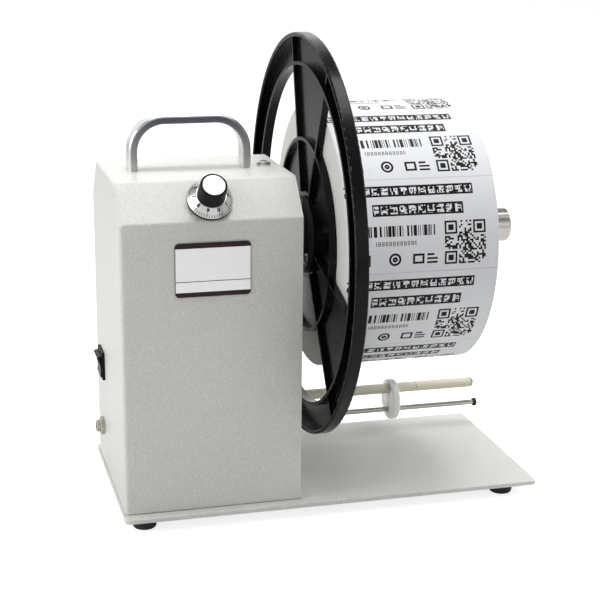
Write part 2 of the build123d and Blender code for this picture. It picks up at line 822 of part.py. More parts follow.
def reel_flange():
    """Moulded flange: web with outer lip, inner lip and hub ring, three windows between ribbed spokes."""
    inner_lip = flange_width - inner_lip_drop
    rib_top = flange_width - rib_drop
    bore = spindle_radius + 0.1
    rings = [
        (inner_lip_radius, inner_lip, inner_lip_wall),
        (hub_ring_radius, rib_top, hub_ring_wall),
    ]
    profile = [
        (bore, 0), (flange_radius, 0), (flange_radius, flange_width),
        (flange_radius - flange_lip, flange_width), (flange_radius - flange_lip, flange_web),
    ]
    for radius, height, wall in rings:
        profile += [(radius, flange_web), (radius, height), (radius - wall, height), (radius - wall, flange_web)]
    profile += [(hub_pad_radius, flange_web), (hub_pad_radius, hub_pad_thickness), (bore, hub_pad_thickness)]
    body = turned_up(profile)
    body = round_edges(
        body, Axis.Z,
        [(0, flange_radius), (flange_width, flange_radius), (flange_width, flange_radius - flange_lip)], 1.2)
    spokes = [spoke_start_angle + 360 * i / spoke_count for i in range(spoke_count)]
    windows = Circle(inner_lip_radius - inner_lip_wall) - Circle(hub_ring_radius)
    for angle in spokes:
        windows -= spoke_wedge(angle)
    windows = fillet(windows.vertices(), window_corner_radius)
    body -= Pos(0, 0, -1) * extrude(windows, flange_web + 2)
    rib_length = flange_radius - flange_lip - hub_pad_radius + 1.5
    for angle in spokes:
        for side in (-1, 1):
            rib = Box(rib_length, rib_thickness, rib_top - 0.5, align=(Align.MIN, Align.CENTER, Align.MIN))
            body += Rot(0, 0, angle + side * spoke_half_angle) * Pos(hub_pad_radius - 1, 0, 0.5) * rib
    for place in on_circle(hub_screw_count, hub_screw_circle, spoke_start_angle):
        body -= place * standing(m4 + seat_fit, -1, hub_pad_thickness + 1)
    return reel_plane * body


def reel_hub():
    """Disc and boss clamped on the spindle, with the reel flange screwed to its disc."""
    low = hub_pad_thickness
    high = low + hub_disc_thickness
    body = turned_up([
        (spindle_radius + seat_fit, low), (hub_disc_radius - 0.8, low), (hub_disc_radius, low + 0.8),
        (hub_disc_radius, high - 0.8), (hub_disc_radius - 0.8, high), (hub_boss_radius + 0.8, high),
        (hub_boss_radius, high + 0.8), (hub_boss_radius, high + hub_boss_length - 1.0),
        (hub_boss_radius - 1.0, high + hub_boss_length), (spindle_radius + seat_fit, high + hub_boss_length),
    ])
    for place in on_circle(hub_screw_count, hub_screw_circle, spoke_start_angle):
        body -= place * standing(m4 + running_fit, low - 1, high + 1)
    for turn in set_screw_turns:
        drill = Cylinder(m4 + seat_fit, hub_boss_radius + 2, align=(Align.CENTER, Align.CENTER, Align.MIN))
        body -= Pos(0, 0, set_screw_height) * Rot(0, 0, turn) * Rot(0, 90, 0) * drill
    return reel_plane * body


def spindle_set_screws():
    """Two in the reel hub and one in the pulley hub."""
    screws = []
    for turn in set_screw_turns:
        place = Pos(0, 0, set_screw_height) * Rot(0, 0, turn) * Rot(0, 90, 0) * Pos(0, 0, hub_boss_radius - 0.3)
        screws.append(reel_plane * place * set_screw(m4, hub_boss_radius - spindle_radius - 0.4))
    pulley_screw = set_screw(m4, pulley_hub_radius - tail_radius - 0.4)
    screws.append(Pos(pulley_screw_x, 0, spindle_z + pulley_hub_radius - 0.3) * pulley_screw)
    return group(screws)


parts["reel_flange"] = reel_flange()
parts["reel_hub"] = reel_hub()
parts["hub_screws"] = group([
    reel_plane * place * Pos(0, 0, hub_top) * pan_screw(m4, hub_top - 0.4, recess=True)
    for place in on_circle(hub_screw_count, hub_screw_circle, spoke_start_angle)])
parts["set_screws"] = spindle_set_screws()


# ---------------------------------------------------------------- core and roll

def tube_along_x(inner, outer, start, end, y, z, edge):
    """A tube along X with its outer end edges broken."""
    return turned([
        (start, inner), (start, outer - edge), (start + edge, outer),
        (end - edge, outer), (end, outer - edge), (end, inner),
    ], y, z)


roll_end = roll_start + roll_width
parts["paper_core"] = tube_along_x(
    core_bore_radius, core_radius, roll_start, roll_end, 0, spindle_z, 0.3)
parts["label_roll"] = tube_along_x(
    core_radius + seat_fit, roll_radius, roll_start, roll_end, 0, spindle_z, 0.4)
grip_ring_corners = [
    (grip_ring_section * cos(radians(turn)), grip_ring_centre + grip_ring_section * sin(radians(turn)))
    for turn in range(0, 360, 45)]
parts["grip_rings"] = group([
    Pos(x, 0, 0) * turned(grip_ring_corners, 0, spindle_z) for x in grip_ring_places])


# ---------------------------------------------------------------- motor and belt

gearbox_z = motor_z - motor_shaft_offset
gearbox_end = bracket_front + gearbox_length


def gearbox():
    """Round gear case with the output boss off its centre."""
    case = along_x(gearbox_radius, bracket_front, gearbox_end, 0, gearbox_z)
    case += along_x(gearbox_boss_radius, bracket_back - 1.5, bracket_front, 0, motor_z)
    case -= along_x(motor_shaft_radius + running_fit, bracket_back - 3, gearbox_end - 4, 0, motor_z)
    for place in on_circle(6, motor_screw_circle, 30):
        hole = place * standing(m3 + seat_fit, -1, 5)
        case -= Pos(bracket_front, 0, gearbox_z) * Rot(0, 90, 0) * hole
    return case


def motor_can():
    """Motor behind the gear case, with its rear bearing cap and two terminals."""
    end = gearbox_end + motor_can_length
    can = along_x(motor_can_radius, gearbox_end, end, 0, gearbox_z)
    can = round_edges(can, Axis.X, [(end, motor_can_radius)], 1.5)
    can += along_x(5.0, end, end + 1.5, 0, gearbox_z)
    for y in (-9.0, 9.0):
        can += block((end, end + 2.5), (y - 0.3, y + 0.3), (gearbox_z - 1.5, gearbox_z + 1.5))
    return can


def motor_bracket():
    """Bent angle: upright plate for the gear case, foot on the base plate."""
    upright_top = gearbox_z + gearbox_radius + 6
    half = bracket_width / 2
    body = block((bracket_back, bracket_front), (-half, half), (plate_top, upright_top))
    body += block(
        (bracket_back, bracket_front + bracket_foot), (-half, half), (plate_top, plate_top + bracket_thickness))
    corners = body.edges().filter_by(Axis.X).filter_by(lambda e: e.center().Z > upright_top - 1)
    body = fillet(corners, bracket_corner)
    body -= along_x(gearbox_boss_radius + running_fit, bracket_back - 1, bracket_front + 1, 0, motor_z)
    for place in on_circle(6, motor_screw_circle, 30):
        hole = place * standing(m3 + running_fit, -5, 5)
        body -= Pos(bracket_front, 0, gearbox_z) * Rot(0, 90, 0) * hole
    for x, y in bracket_screws:
        body -= standing(m4 + running_fit, plate_top - 1, plate_top + 5, x, y)
    return body


def drive_belt():
    """Round belt round both pulleys: two arcs joined by their outer tangents."""
    distance = spindle_z - motor_z
    lean = degrees(asin((spindle_pulley_radius - motor_pulley_radius) / distance))
    big, small = spindle_pulley_radius, motor_pulley_radius
    touch = [(cos(radians(lean)) * r, -sin(radians(lean)) * r) for r in (big, small)]
    top = ThreePointArc(
        (touch[0][0], distance + touch[0][1]), (0, distance + big), (-touch[0][0], distance + touch[0][1]))
    bottom = ThreePointArc((-touch[1][0], touch[1][1]), (0, -small), (touch[1][0], touch[1][1]))
    left = Line(top @ 1, bottom @ 0)
    right = Line(bottom @ 1, top @ 0)
    path = Plane((pulley_x, 0, motor_z), x_dir=(0, 1, 0), z_dir=(1, 0, 0)) * Wire([top, left, bottom, right])
    start = path @ 0
    section = Plane(start, z_dir=path % 0) * Circle(belt_radius)
    return sweep(section, path=path)


motor_screw_places = [1, 2, 4, 5]
motor_shaft_end = pulley_back - 2.0
motor_pulley_end = pulley_back - motor_pulley_hub_length

parts["gearbox"] = gearbox()
parts["motor_can"] = motor_can()
parts["motor_bracket"] = motor_bracket()
parts["motor_screws"] = group([
    Pos(bracket_back, 0, gearbox_z) * Rot(0, -90, 0) * Rot(0, 0, 180) * place * pan_screw(m3, 6.0)
    for place in (on_circle(6, motor_screw_circle, 30)[i] for i in motor_screw_places)])
parts["drive_belt"] = drive_belt()
parts["motor_shaft"] = along_x(
    motor_shaft_radius, motor_shaft_end - 3.0, gearbox_end - 5.0, 0, motor_z)
motor_pulley_blank = grooved_pulley(
    motor_pulley_radius, motor_pulley_hub_radius, motor_pulley_end, motor_shaft_radius + seat_fit, motor_z)
motor_set_screw_x = (pulley_back + motor_pulley_end) / 2
parts["motor_pulley"] = motor_pulley_blank - Pos(motor_set_screw_x, 0, motor_z) * standing(
    m3 + seat_fit, motor_shaft_radius - 1, motor_pulley_hub_radius + 1)
parts["motor_pulley_screw"] = Pos(motor_set_screw_x, 0, motor_z + motor_pulley_hub_radius - 0.2) * set_screw(
    m3, motor_pulley_hub_radius - motor_shaft_radius - 0.4)


# ---------------------------------------------------------------- guide rods

def threaded_end_rod(radius, end, shoulder, z):
    """A rod cantilevered from the side plate: shoulder outside, thread through the wall."""
    rod = along_x(radius, plate_inner_face - rod_thread_length, end, rods_y, z)
    rod += along_x(shoulder, housing_right, housing_right + rod_shoulder_width, rods_y, z)
    return rod


def rod_nut(radius, z):
    nut = hexagon_nut(3.4 * radius, 1.6 * radius, radius + seat_fit)
    return Pos(plate_inner_face, rods_y, z) * Rot(0, -90, 0) * nut


tube_start = housing_right + rod_shoulder_width + face_gap
tube_end = housing_right + guide_tube_reach
split = housing_right + guide_tube_split
guide_rod_end = tube_end + 2.2
bar_end = housing_right + tension_bar_reach
ring_groove_x = tube_end + face_gap
ring_seat = guide_rod_radius - 0.5


def guide_rod():
    """Core rod of the two tubes, grooved at its end for the snap ring."""
    rod = threaded_end_rod(guide_rod_radius, guide_rod_end, rod_shoulder_radius, guide_rod_z)
    groove = along_x(guide_rod_radius + 1, ring_groove_x, ring_groove_x + 1.0, rods_y, guide_rod_z)
    groove -= along_x(ring_seat, ring_groove_x - 1, ring_groove_x + 2, rods_y, guide_rod_z)
    return rod - groove


def snap_ring():
    """Open ring that keeps the tubes on their rod."""
    start = ring_groove_x + 0.1
    ring = along_x(snap_ring_radius, start, start + snap_ring_width, rods_y, guide_rod_z)
    ring -= along_x(ring_seat + seat_fit, ring_groove_x, ring_groove_x + 1, rods_y, guide_rod_z)
    low = guide_rod_z - snap_ring_radius - 1
    return ring - block((ring_groove_x, ring_groove_x + 1), (rods_y - 1.2, rods_y + 1.2), (low, guide_rod_z))


def guide_tube(start, end):
    return tube_along_x(
        guide_rod_radius + running_fit, guide_tube_radius, start, end, rods_y, guide_rod_z, 0.4)


def edge_guide():
    """Nylon disc that slides on both rods and sets the web's edge."""
    middle = housing_right + edge_guide_reach
    start, end = middle - edge_guide_thickness / 2, middle + edge_guide_thickness / 2
    disc = along_x(edge_guide_radius, start, end, rods_y, edge_guide_z)
    disc = round_edges(disc, Axis.X, [(start, edge_guide_radius), (end, edge_guide_radius)], 1.0)
    disc -= along_x(guide_tube_radius + loose_fit, start - 1, end + 1, rods_y, guide_rod_z)
    return disc - along_x(tension_bar_radius + running_fit, start - 1, end + 1, rods_y, tension_bar_z)


def end_ring():
    """Black cap pushed on the end of the tension bar."""
    cap = along_x(end_ring_radius, bar_end - end_ring_width, bar_end, rods_y, tension_bar_z)
    cap = round_edges(cap, Axis.X, [(bar_end, end_ring_radius)], 0.5)
    return cap - along_x(
        tension_bar_radius + seat_fit, bar_end - end_ring_width - 1, bar_end - 0.6, rods_y, tension_bar_z)


parts["guide_rod"] = guide_rod()
parts["guide_tube_inner"] = guide_tube(tube_start, split - face_gap / 2)
parts["guide_tube_outer"] = guide_tube(split + face_gap / 2, tube_end)
parts["snap_ring"] = snap_ring()
parts["tension_bar"] = threaded_end_rod(tension_bar_radius, bar_end - 0.8, bar_shoulder_radius, tension_bar_z)
parts["tension_bar_cap"] = end_ring()
parts["rod_nuts"] = group([
    rod_nut(guide_rod_radius, guide_rod_z), rod_nut(tension_bar_radius, tension_bar_z)])
parts["edge_guide"] = edge_guide()


# ---------------------------------------------------------------- control board

board_left = housing_left + flange_reach + board_setback
board_x = (board_left, board_left + board_length)
board_y = (-board_side - board_depth, -board_side)
board_z = plate_top + board_lift
board_top = board_z + board_thickness
standoff_places = [
    (x, y) for x in (board_x[0] + board_hole_inset, board_x[1] - board_hole_inset)
    for y in (board_y[0] + board_hole_inset, board_y[1] - board_hole_inset)]


def board_components():
    """Terminal block, two capacitors and a finned heat sink, standing on the board."""
    x, y = board_x[0], board_y[0]
    terminal = block((x + 12, x + 36), (y + 1, y + 9), (board_top, board_top + 10))
    capacitors = [standing(5.0, board_top, board_top + 16, x + 14 + 12 * i, y + 16) for i in range(2)]
    sink = block((x + 10, x + 40), (y + 23, y + 25), (board_top, board_top + 20))
    for i in range(5):
        fin_x = x + 10 + 7 * i
        sink += block((fin_x, fin_x + 2), (y + 25, y + 32), (board_top, board_top + 20))
    return group([terminal] + capacitors + [sink])


def control_board():
    board = block(board_x, board_y, (board_z, board_top))
    for x, y in standoff_places:
        board -= standing(m3 + loose_fit, board_z - 1, board_top + 1, x, y)
    return board


parts["control_board"] = control_board()
parts["board_standoffs"] = group([
    standing(3.0, plate_top, board_z, x, y) + standing(m3, board_z, board_top + 1.5, x, y)
    for x, y in standoff_places])
parts["board_components"] = board_components()


# ---------------------------------------------------------------- output

os.makedirs("parts", exist_ok=True)
for name, shape in parts.items():
    export_step(shape, f"parts/{name}.step")
print(len(parts), "nodes; overall length", overall_length, "spindle height", spindle_z)
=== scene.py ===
import json
import math

import bmesh
import bpy
from bpy.props import FloatProperty, FloatVectorProperty, IntProperty, PointerProperty
from mathutils import Matrix, Vector


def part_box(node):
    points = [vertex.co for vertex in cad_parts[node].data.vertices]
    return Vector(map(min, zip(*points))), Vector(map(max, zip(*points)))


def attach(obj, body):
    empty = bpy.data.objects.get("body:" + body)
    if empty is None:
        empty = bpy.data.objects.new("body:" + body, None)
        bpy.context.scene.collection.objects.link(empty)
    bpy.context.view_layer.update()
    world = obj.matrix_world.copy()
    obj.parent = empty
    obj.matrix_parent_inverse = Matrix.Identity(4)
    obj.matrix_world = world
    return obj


bl_info = {
    "name": "Bench label rewinder",
    "version": (1, 0, 0),
    "blender": (4, 5, 0),
    "location": "View3D > Sidebar > Rewinder",
    "description": "Finishes, printed details and studio of a motor driven bench rewinder",
    "category": "Object",
}

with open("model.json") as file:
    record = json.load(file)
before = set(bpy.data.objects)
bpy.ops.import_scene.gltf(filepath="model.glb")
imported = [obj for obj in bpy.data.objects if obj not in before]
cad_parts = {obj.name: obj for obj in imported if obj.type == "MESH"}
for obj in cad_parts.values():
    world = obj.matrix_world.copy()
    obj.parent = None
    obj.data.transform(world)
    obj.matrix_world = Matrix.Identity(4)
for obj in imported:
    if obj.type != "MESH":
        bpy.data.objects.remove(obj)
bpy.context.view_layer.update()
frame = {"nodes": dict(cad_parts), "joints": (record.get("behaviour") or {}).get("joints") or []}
NODES = frame["nodes"]

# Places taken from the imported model
ROLL_LOW, ROLL_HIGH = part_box("label_roll")
ROLL_RADIUS = (ROLL_HIGH.z - ROLL_LOW.z) / 2
SPINDLE_Z = (ROLL_HIGH.z + ROLL_LOW.z) / 2
PLATE_LOW, PLATE_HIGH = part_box("name_plate")
KNOB_JOINT = next(joint for joint in frame["joints"] if joint["name"] == "speed_knob_turn")
KNOB_CENTRE = Vector(KNOB_JOINT["pos_m"])
KNOB_OUT = -Vector(KNOB_JOINT["axis"])


# ------------------------------------------------------------------ settings

class FinishSettings(bpy.types.PropertyGroup):
    """Colours and textures of the main finishes."""

    powder_colour: FloatVectorProperty(
        name="Powder coat", description="Base colour of the housing and base plate",
        default=(0.78, 0.775, 0.74), min=0, max=1, size=3, subtype="COLOR")
    powder_grain: FloatProperty(
        name="Powder grain", description="Size of the powder coat's texture",
        default=0.0012, min=0.0002, max=0.01, unit="LENGTH")
    flange_colour: FloatVectorProperty(
        name="Reel flange", description="Base colour of the moulded reel flange",
        default=(0.003, 0.0035, 0.004), min=0, max=1, size=3, subtype="COLOR")
    paper_colour: FloatVectorProperty(
        name="Label paper", description="Colour of the unprinted label face",
        default=(0.86, 0.87, 0.89), min=0, max=1, size=3, subtype="COLOR")
    ink_colour: FloatVectorProperty(
        name="Label ink", description="Colour of the print on the labels",
        default=(0.004, 0.004, 0.005), min=0, max=1, size=3, subtype="COLOR")
    tube_colour: FloatVectorProperty(
        name="Guide tubes", description="Base colour of the guide tubes",
        default=(0.88, 0.83, 0.66), min=0, max=1, size=3, subtype="COLOR")
    guide_colour: FloatVectorProperty(
        name="Edge guide", description="Base colour of the edge guide disc",
        default=(0.98, 0.975, 0.955), min=0, max=1, size=3, subtype="COLOR")


class PrintSettings(bpy.types.PropertyGroup):
    """Layout of the printed labels and of the dial."""

    label_pitch: FloatProperty(
        name="Label pitch", description="Distance from one label to the next along the web",
        default=0.0643, min=0.01, max=0.3, unit="LENGTH")
    label_start: FloatProperty(
        name="Label start", description="Where a label's lower edge lies, up from the roll's front line",
        default=-0.0079, min=-0.2, max=0.2, unit="LENGTH")
    digit_height: FloatProperty(
        name="Dial digit height", description="Height of the digits on the knob's skirt",
        default=0.0027, min=0.0005, max=0.01, unit="LENGTH")
    dial_digits: IntProperty(
        name="Dial digits", description="How many digits stand round the dial", default=10, min=2, max=12)


class StudioSettings(bpy.types.PropertyGroup):
    """Camera and lights."""

    camera_place: FloatVectorProperty(
        name="Camera place", description="Where the camera stands",
        default=(-0.28008, -0.9933, 0.42199), size=3, subtype="TRANSLATION", unit="LENGTH")
    camera_pan: FloatProperty(
        name="Camera pan", description="Turn of the camera to the right of straight back",
        default=0.267, subtype="ANGLE")
    camera_dip: FloatProperty(
        name="Camera dip", description="Tilt of the camera below the horizon",
        default=0.268, subtype="ANGLE")
    camera_lean: FloatProperty(
        name="Camera lean", description="Roll of the camera about its own line of sight",
        default=0.010, subtype="ANGLE")
    lens: FloatProperty(
        name="Focal length", description="Lens on a 36 mm wide sensor, in millimetres",
        default=87.31, min=10, max=300)
    key_power: FloatProperty(
        name="Key light", description="Power of the light on the left", default=14.0, min=0, unit="POWER")
    top_power: FloatProperty(
        name="Top light", description="Power of the light overhead", default=23.0, min=0, unit="POWER")
    side_power: FloatProperty(
        name="Side light", description="Power of the light on the right", default=11.3, min=0, unit="POWER")
    back_power: FloatProperty(
        name="Back light", description="Power of the light behind", default=3.1, min=0, unit="POWER")
    ambient: FloatProperty(
        name="Ambient", description="Strength of the room's even light", default=0.3, min=0)


# ------------------------------------------------------------------ node helpers

# Places of a colour mix node's sockets, whose names repeat
MIX_FACTOR, MIX_A, MIX_B, MIX_RESULT = 0, 6, 7, 2


class Nodes:
    """Short names for making and joining the nodes of one tree."""

    def __init__(self, tree):
        self.tree = tree

    def add(self, kind, inputs=None, **settings):
        node = self.tree.nodes.new(kind)
        for key, value in settings.items():
            setattr(node, key, value)
        for socket, value in (inputs or {}).items():
            self.feed(node.inputs[socket], value)
        return node

    def feed(self, socket, value):
        if isinstance(value, bpy.types.NodeSocket):
            self.tree.links.new(value, socket)
        else:
            socket.default_value = value

    def maths(self, operation, *values):
        node = self.add("ShaderNodeMath", operation=operation)
        for socket, value in zip(node.inputs, values):
            self.feed(socket, value)
        return node.outputs[0]

    def both(self, a, b):
        """Where two masks overlap, or a mask held down to a share."""
        return self.maths("MULTIPLY", a, b)

    def either(self, a, b):
        """Where at least one of two masks is set."""
        return self.maths("MAXIMUM", a, b)

    def without(self, a, b):
        """Mask a with mask b cut away."""
        return self.both(a, self.maths("SUBTRACT", 1.0, b))

    def distance(self, a, b):
        """Length of the vector (a, b)."""
        squares = self.maths("ADD", self.maths("MULTIPLY", a, a), self.maths("MULTIPLY", b, b))
        return self.maths("SQRT", squares)

    def vary(self, base, *parts):
        """A base value plus each value times its share."""
        for value, share in parts:
            base = self.maths("ADD", self.maths("MULTIPLY", value, share), base)
        return base

    def mix(self, factor, a, b):
        node = self.add("ShaderNodeMix", data_type="RGBA")
        for place, value in ((MIX_FACTOR, factor), (MIX_A, a), (MIX_B, b)):
            self.feed(node.inputs[place], value)
        return node.outputs[MIX_RESULT]

    def noise(self, vector, scale, detail=2.0, roughness=0.5):
        node = self.add("ShaderNodeTexNoise", {"Vector": vector, "Scale": scale, "Detail": detail,
                                               "Roughness": roughness})
        return node.outputs["Fac"]

    def remap(self, value, low, high, to_low=0.0, to_high=1.0):
        node = self.add("ShaderNodeMapRange", {"Value": value, "From Min": low, "From Max": high,
                                               "To Min": to_low, "To Max": to_high})
        return node.outputs[0]

    def split(self, vector):
        return self.add("ShaderNodeSeparateXYZ", {"Vector": vector}).outputs

    def join(self, x, y, z):
        return self.add("ShaderNodeCombineXYZ", {"X": x, "Y": y, "Z": z}).outputs[0]

    def coordinates(self):
        return self.add("ShaderNodeTexCoord").outputs["Object"]

    def group(self, tree, inputs):
        return self.add("ShaderNodeGroup", inputs, node_tree=tree).outputs


def fresh_nodes(owner):
    """Helper for the emptied node tree of a material or a world."""
    owner.use_nodes = True
    owner.node_tree.nodes.clear()
    return Nodes(owner.node_tree)


def shade(colour, factor=1.0, lift=0.0):
    """A lighter or darker shade of a colour, with full alpha."""
    return (*[min(1.0, part * factor + lift) for part in colour], 1.0)


def new_group(name, vectors, numbers, outputs):
    """An empty shader node group; returns it with its helper and its two end nodes."""
    tree = bpy.data.node_groups.new(name, "ShaderNodeTree")
    for socket in vectors:
        tree.interface.new_socket(socket, in_out="INPUT", socket_type="NodeSocketVector")
    for socket in numbers:
        tree.interface.new_socket(socket, in_out="INPUT", socket_type="NodeSocketFloat")
    for socket in outputs:
        tree.interface.new_socket(socket, in_out="OUTPUT", socket_type="NodeSocketFloat")
    nodes = Nodes(tree)
    start = nodes.add("NodeGroupInput").outputs
    end = nodes.add("NodeGroupOutput").inputs
    return tree, nodes, start, end


# ------------------------------------------------------------------ shared effects

def grain_group():
    """Fine lumps of a sprayed or moulded surface, with a tone that follows them."""
    tree, n, start, end = new_group(
        "surface grain", ["Vector"], ["Size"], ["Height", "Tone", "Patches", "Fleck"])
    at = start["Vector"]
    scale = n.maths("DIVIDE", 1.0, start["Size"])
    cells = n.add("ShaderNodeTexVoronoi", {"Vector": at, "Scale": scale}, feature="SMOOTH_F1")
    lumps = n.maths("SUBTRACT", 1.0, cells.outputs["Distance"])
    fine = n.noise(at, n.maths("MULTIPLY", scale, 2.6), 3.0, 0.6)
    height = n.maths("ADD", n.maths("MULTIPLY", lumps, 0.6), n.maths("MULTIPLY", fine, 0.4))
    n.feed(end["Height"], height)
    n.feed(end["Tone"], n.remap(height, 0.35, 0.85))
    n.feed(end["Patches"], n.remap(n.noise(at, 14.0, 4.0, 0.55), 0.3, 0.7))
    specks = n.add("ShaderNodeTexVoronoi", {"Vector": at, "Scale": n.maths("MULTIPLY", scale, 1.2)})
    picked = n.maths("GREATER_THAN", n.split(specks.outputs["Color"])[0], 0.8)
    near = n.maths("LESS_THAN", specks.outputs["Distance"], 0.42)
    n.feed(end["Fleck"], n.both(picked, near))
    return tree


def turning_group():
    """Fine rings left by a lathe tool round an axis along X, through the given Y and Z."""
    tree, n, start, end = new_group("turning marks", ["Vector"], ["Axis Y", "Axis Z", "Pitch"], ["Height"])
    x, y, z = n.split(start["Vector"])
    y = n.maths("SUBTRACT", y, start["Axis Y"])
    z = n.maths("SUBTRACT", z, start["Axis Z"])
    turns = n.maths("DIVIDE", n.distance(y, z), start["Pitch"])
    along = n.maths("ADD", n.maths("DIVIDE", x, start["Pitch"]), turns)
    n.feed(end["Height"], n.noise(n.join(along, 0.0, 0.0), 1.0, 3.0, 0.65))
    return tree


def brushing_group():
    """Long fine scratches along one direction; Stretch is how far each axis is squeezed."""
    tree, n, start, end = new_group("brushed lines", ["Vector", "Stretch"], [], ["Height", "Tone"])
    squeezed = n.add("ShaderNodeVectorMath", {0: start["Vector"], 1: start["Stretch"]},
                     operation="MULTIPLY").outputs[0]
    lines = n.noise(squeezed, 1.0, 4.0, 0.7)
    n.feed(end["Height"], lines)
    n.feed(end["Tone"], n.remap(lines, 0.3, 0.7))
    return tree


def smudge_group():
    """Faint handling marks: broad soft patches and a few thin scratches."""
    tree, n, start, end = new_group("handling marks", ["Vector"], ["Scale"], ["Smudge", "Scratch"])
    soft = n.noise(start["Vector"], start["Scale"], 5.0, 0.6)
    bent = n.add("ShaderNodeTexNoise", {"Vector": start["Vector"], "Scale": start["Scale"]})
    lines = n.add("ShaderNodeTexWave", {"Vector": bent.outputs["Color"], "Scale": 9.0, "Distortion": 6.0,
                                        "Detail": 3.0}, wave_type="BANDS").outputs["Fac"]
    n.feed(end["Smudge"], n.remap(soft, 0.4, 0.75))
    n.feed(end["Scratch"], n.maths("GREATER_THAN", lines, 0.985))
    return tree


def rectangle_group():
    """1 inside a rectangle of the plane of U and V, 0 outside."""
    tree, n, start, end = new_group(
        "printed rectangle", [], ["U", "V", "U Low", "U High", "V Low", "V High"], ["Mask"])
    spans = []
    for axis in ("U", "V"):
        above = n.maths("GREATER_THAN", start[axis], start[f"{axis} Low"])
        below = n.maths("LESS_THAN", start[axis], start[f"{axis} High"])
        spans.append(n.both(above, below))
    n.feed(end["Mask"], n.both(*spans))
    return tree


def cells_group():
    """Random filled cells of a grid, as in a square code or a run of blocky print."""
    tree, n, start, end = new_group(
        "printed cells", [], ["U", "V", "Cell U", "Cell V", "Share", "Seed"], ["Mask"])
    column = n.maths("FLOOR", n.maths("DIVIDE", start["U"], start["Cell U"]))
    row = n.maths("FLOOR", n.maths("DIVIDE", start["V"], start["Cell V"]))
    pick = n.add("ShaderNodeTexWhiteNoise", {"Vector": n.join(column, row, start["Seed"])},
                 noise_dimensions="3D").outputs["Value"]
    n.feed(end["Mask"], n.maths("LESS_THAN", pick, start["Share"]))
    return tree


EFFECTS = {}


def shared_effects():
    """Every shared effect, by name, built once."""
    if not EFFECTS:
        EFFECTS.update({
            "grain": grain_group(), "turning": turning_group(), "brushing": brushing_group(),
            "smudge": smudge_group(), "rectangle": rectangle_group(), "cells": cells_group(),
        })
    return EFFECTS


# ------------------------------------------------------------------ printed shapes

MM = 0.001
# Longer than any piece here, for cells and boxes that run right across
ENDLESS = 1000


class PrintPlane:
    """Masks of printed shapes on the plane of u and v; all sizes given to it are in millimetres."""

    def __init__(self, n, effects, u, v):
        self.n = n
        self.effects = effects
        self.u = u
        self.v = v

    def moved(self, u, v):
        """The same plane with its origin at (u, v)."""
        new_u = self.n.maths("SUBTRACT", self.u, u * MM)
        new_v = self.n.maths("SUBTRACT", self.v, v * MM)
        return PrintPlane(self.n, self.effects, new_u, new_v)

    def rectangle(self, u_low, u_high, v_low, v_high):
        return self.n.group(self.effects["rectangle"], {
            "U": self.u, "V": self.v, "U Low": u_low * MM, "U High": u_high * MM,
            "V Low": v_low * MM, "V High": v_high * MM})["Mask"]

    def hollow(self, u_low, u_high, v_low, v_high, wall):
        """A rectangle with its middle left open."""
        middle = self.rectangle(u_low + wall, u_high - wall, v_low + wall, v_high - wall)
        return self.n.without(self.rectangle(u_low, u_high, v_low, v_high), middle)

    def cells(self, cell_u, cell_v, share, seed):
        return self.n.group(self.effects["cells"], {
            "U": self.u, "V": self.v, "Cell U": cell_u * MM, "Cell V": cell_v * MM,
            "Share": share, "Seed": seed})["Mask"]

    def near_line(self, value, place, reach):
        """Where a value lies within reach of a place."""
        off = self.n.maths("ABSOLUTE", self.n.maths("SUBTRACT", value, place * MM))
        return self.n.maths("LESS_THAN", off, reach * MM)


# Print of one label, in millimetres. A box is its low and high along the roll, then round it.
BANDS = ((-2, 91.2, 52.3, 59.8), (18.4, 83, 39.0, 47.1))
BAND_START_MARGIN, BAND_END_MARGIN, BAND_SIDE_MARGIN = 0.8, 1, 1.3
FIGURE_PITCH, FIGURE_HALF_WIDTH = 6.6, 2.55
UPRIGHT_STROKE, LEVEL_STROKE = (0.85, 2.65), (2.55, 0.88)
STROKE_SHARE = 0.34

BARCODE = (6, 61.7, 25.2, 32.4)
BAR_WIDTH, BAR_SHARE, BAR_SEED = 0.46, 0.5, 7.0

NUMBER_ROW = (19.7, 48.5, 19.1, 21.9)
NUMBER_PITCH, NUMBER_HALF_WIDTH, NUMBER_HOLE_HALF_WIDTH = 2.6, 0.85, 0.45
NUMBER_HOLES = ((19.5, 20.3), (20.7, 21.5))

LEFT_SIGN, LEFT_SIGN_WALL = (9, 16, 5.6, 13.4), 1.3
RIGHT_SIGN, RIGHT_SIGN_WALL = (45.8, 54.0, 6.0, 13.0), 1.5
RING_CENTRE, RING_RADII, RING_HALF_WALL = (33.2, 9.6), (3.6, 1.1), 0.75
SIGN_BARS = ((56.0, 63.5, 6.0, 7.4), (56.0, 63.5, 8.7, 10.1), (56.0, 61.0, 11.4, 12.9))

CODE_SIDE, CODE_CELLS, CODE_U, CODE_V = 29.6, 23, 68.6, 4.6
CODE_SHARE, CODE_SEED = 0.5, 11.0
CODE_CORNER_CELLS = 7
# Layers of a corner frame: how far in from its edge each starts, in cells, and whether it is printed
CODE_CORNER_LAYERS = ((-0.9, False), (0, True), (1, False), (2, True))

GAP_WIDTH = 0.45
# Labels added to the distance round the roll, which keep it above zero
LABELS_ADDED = 12


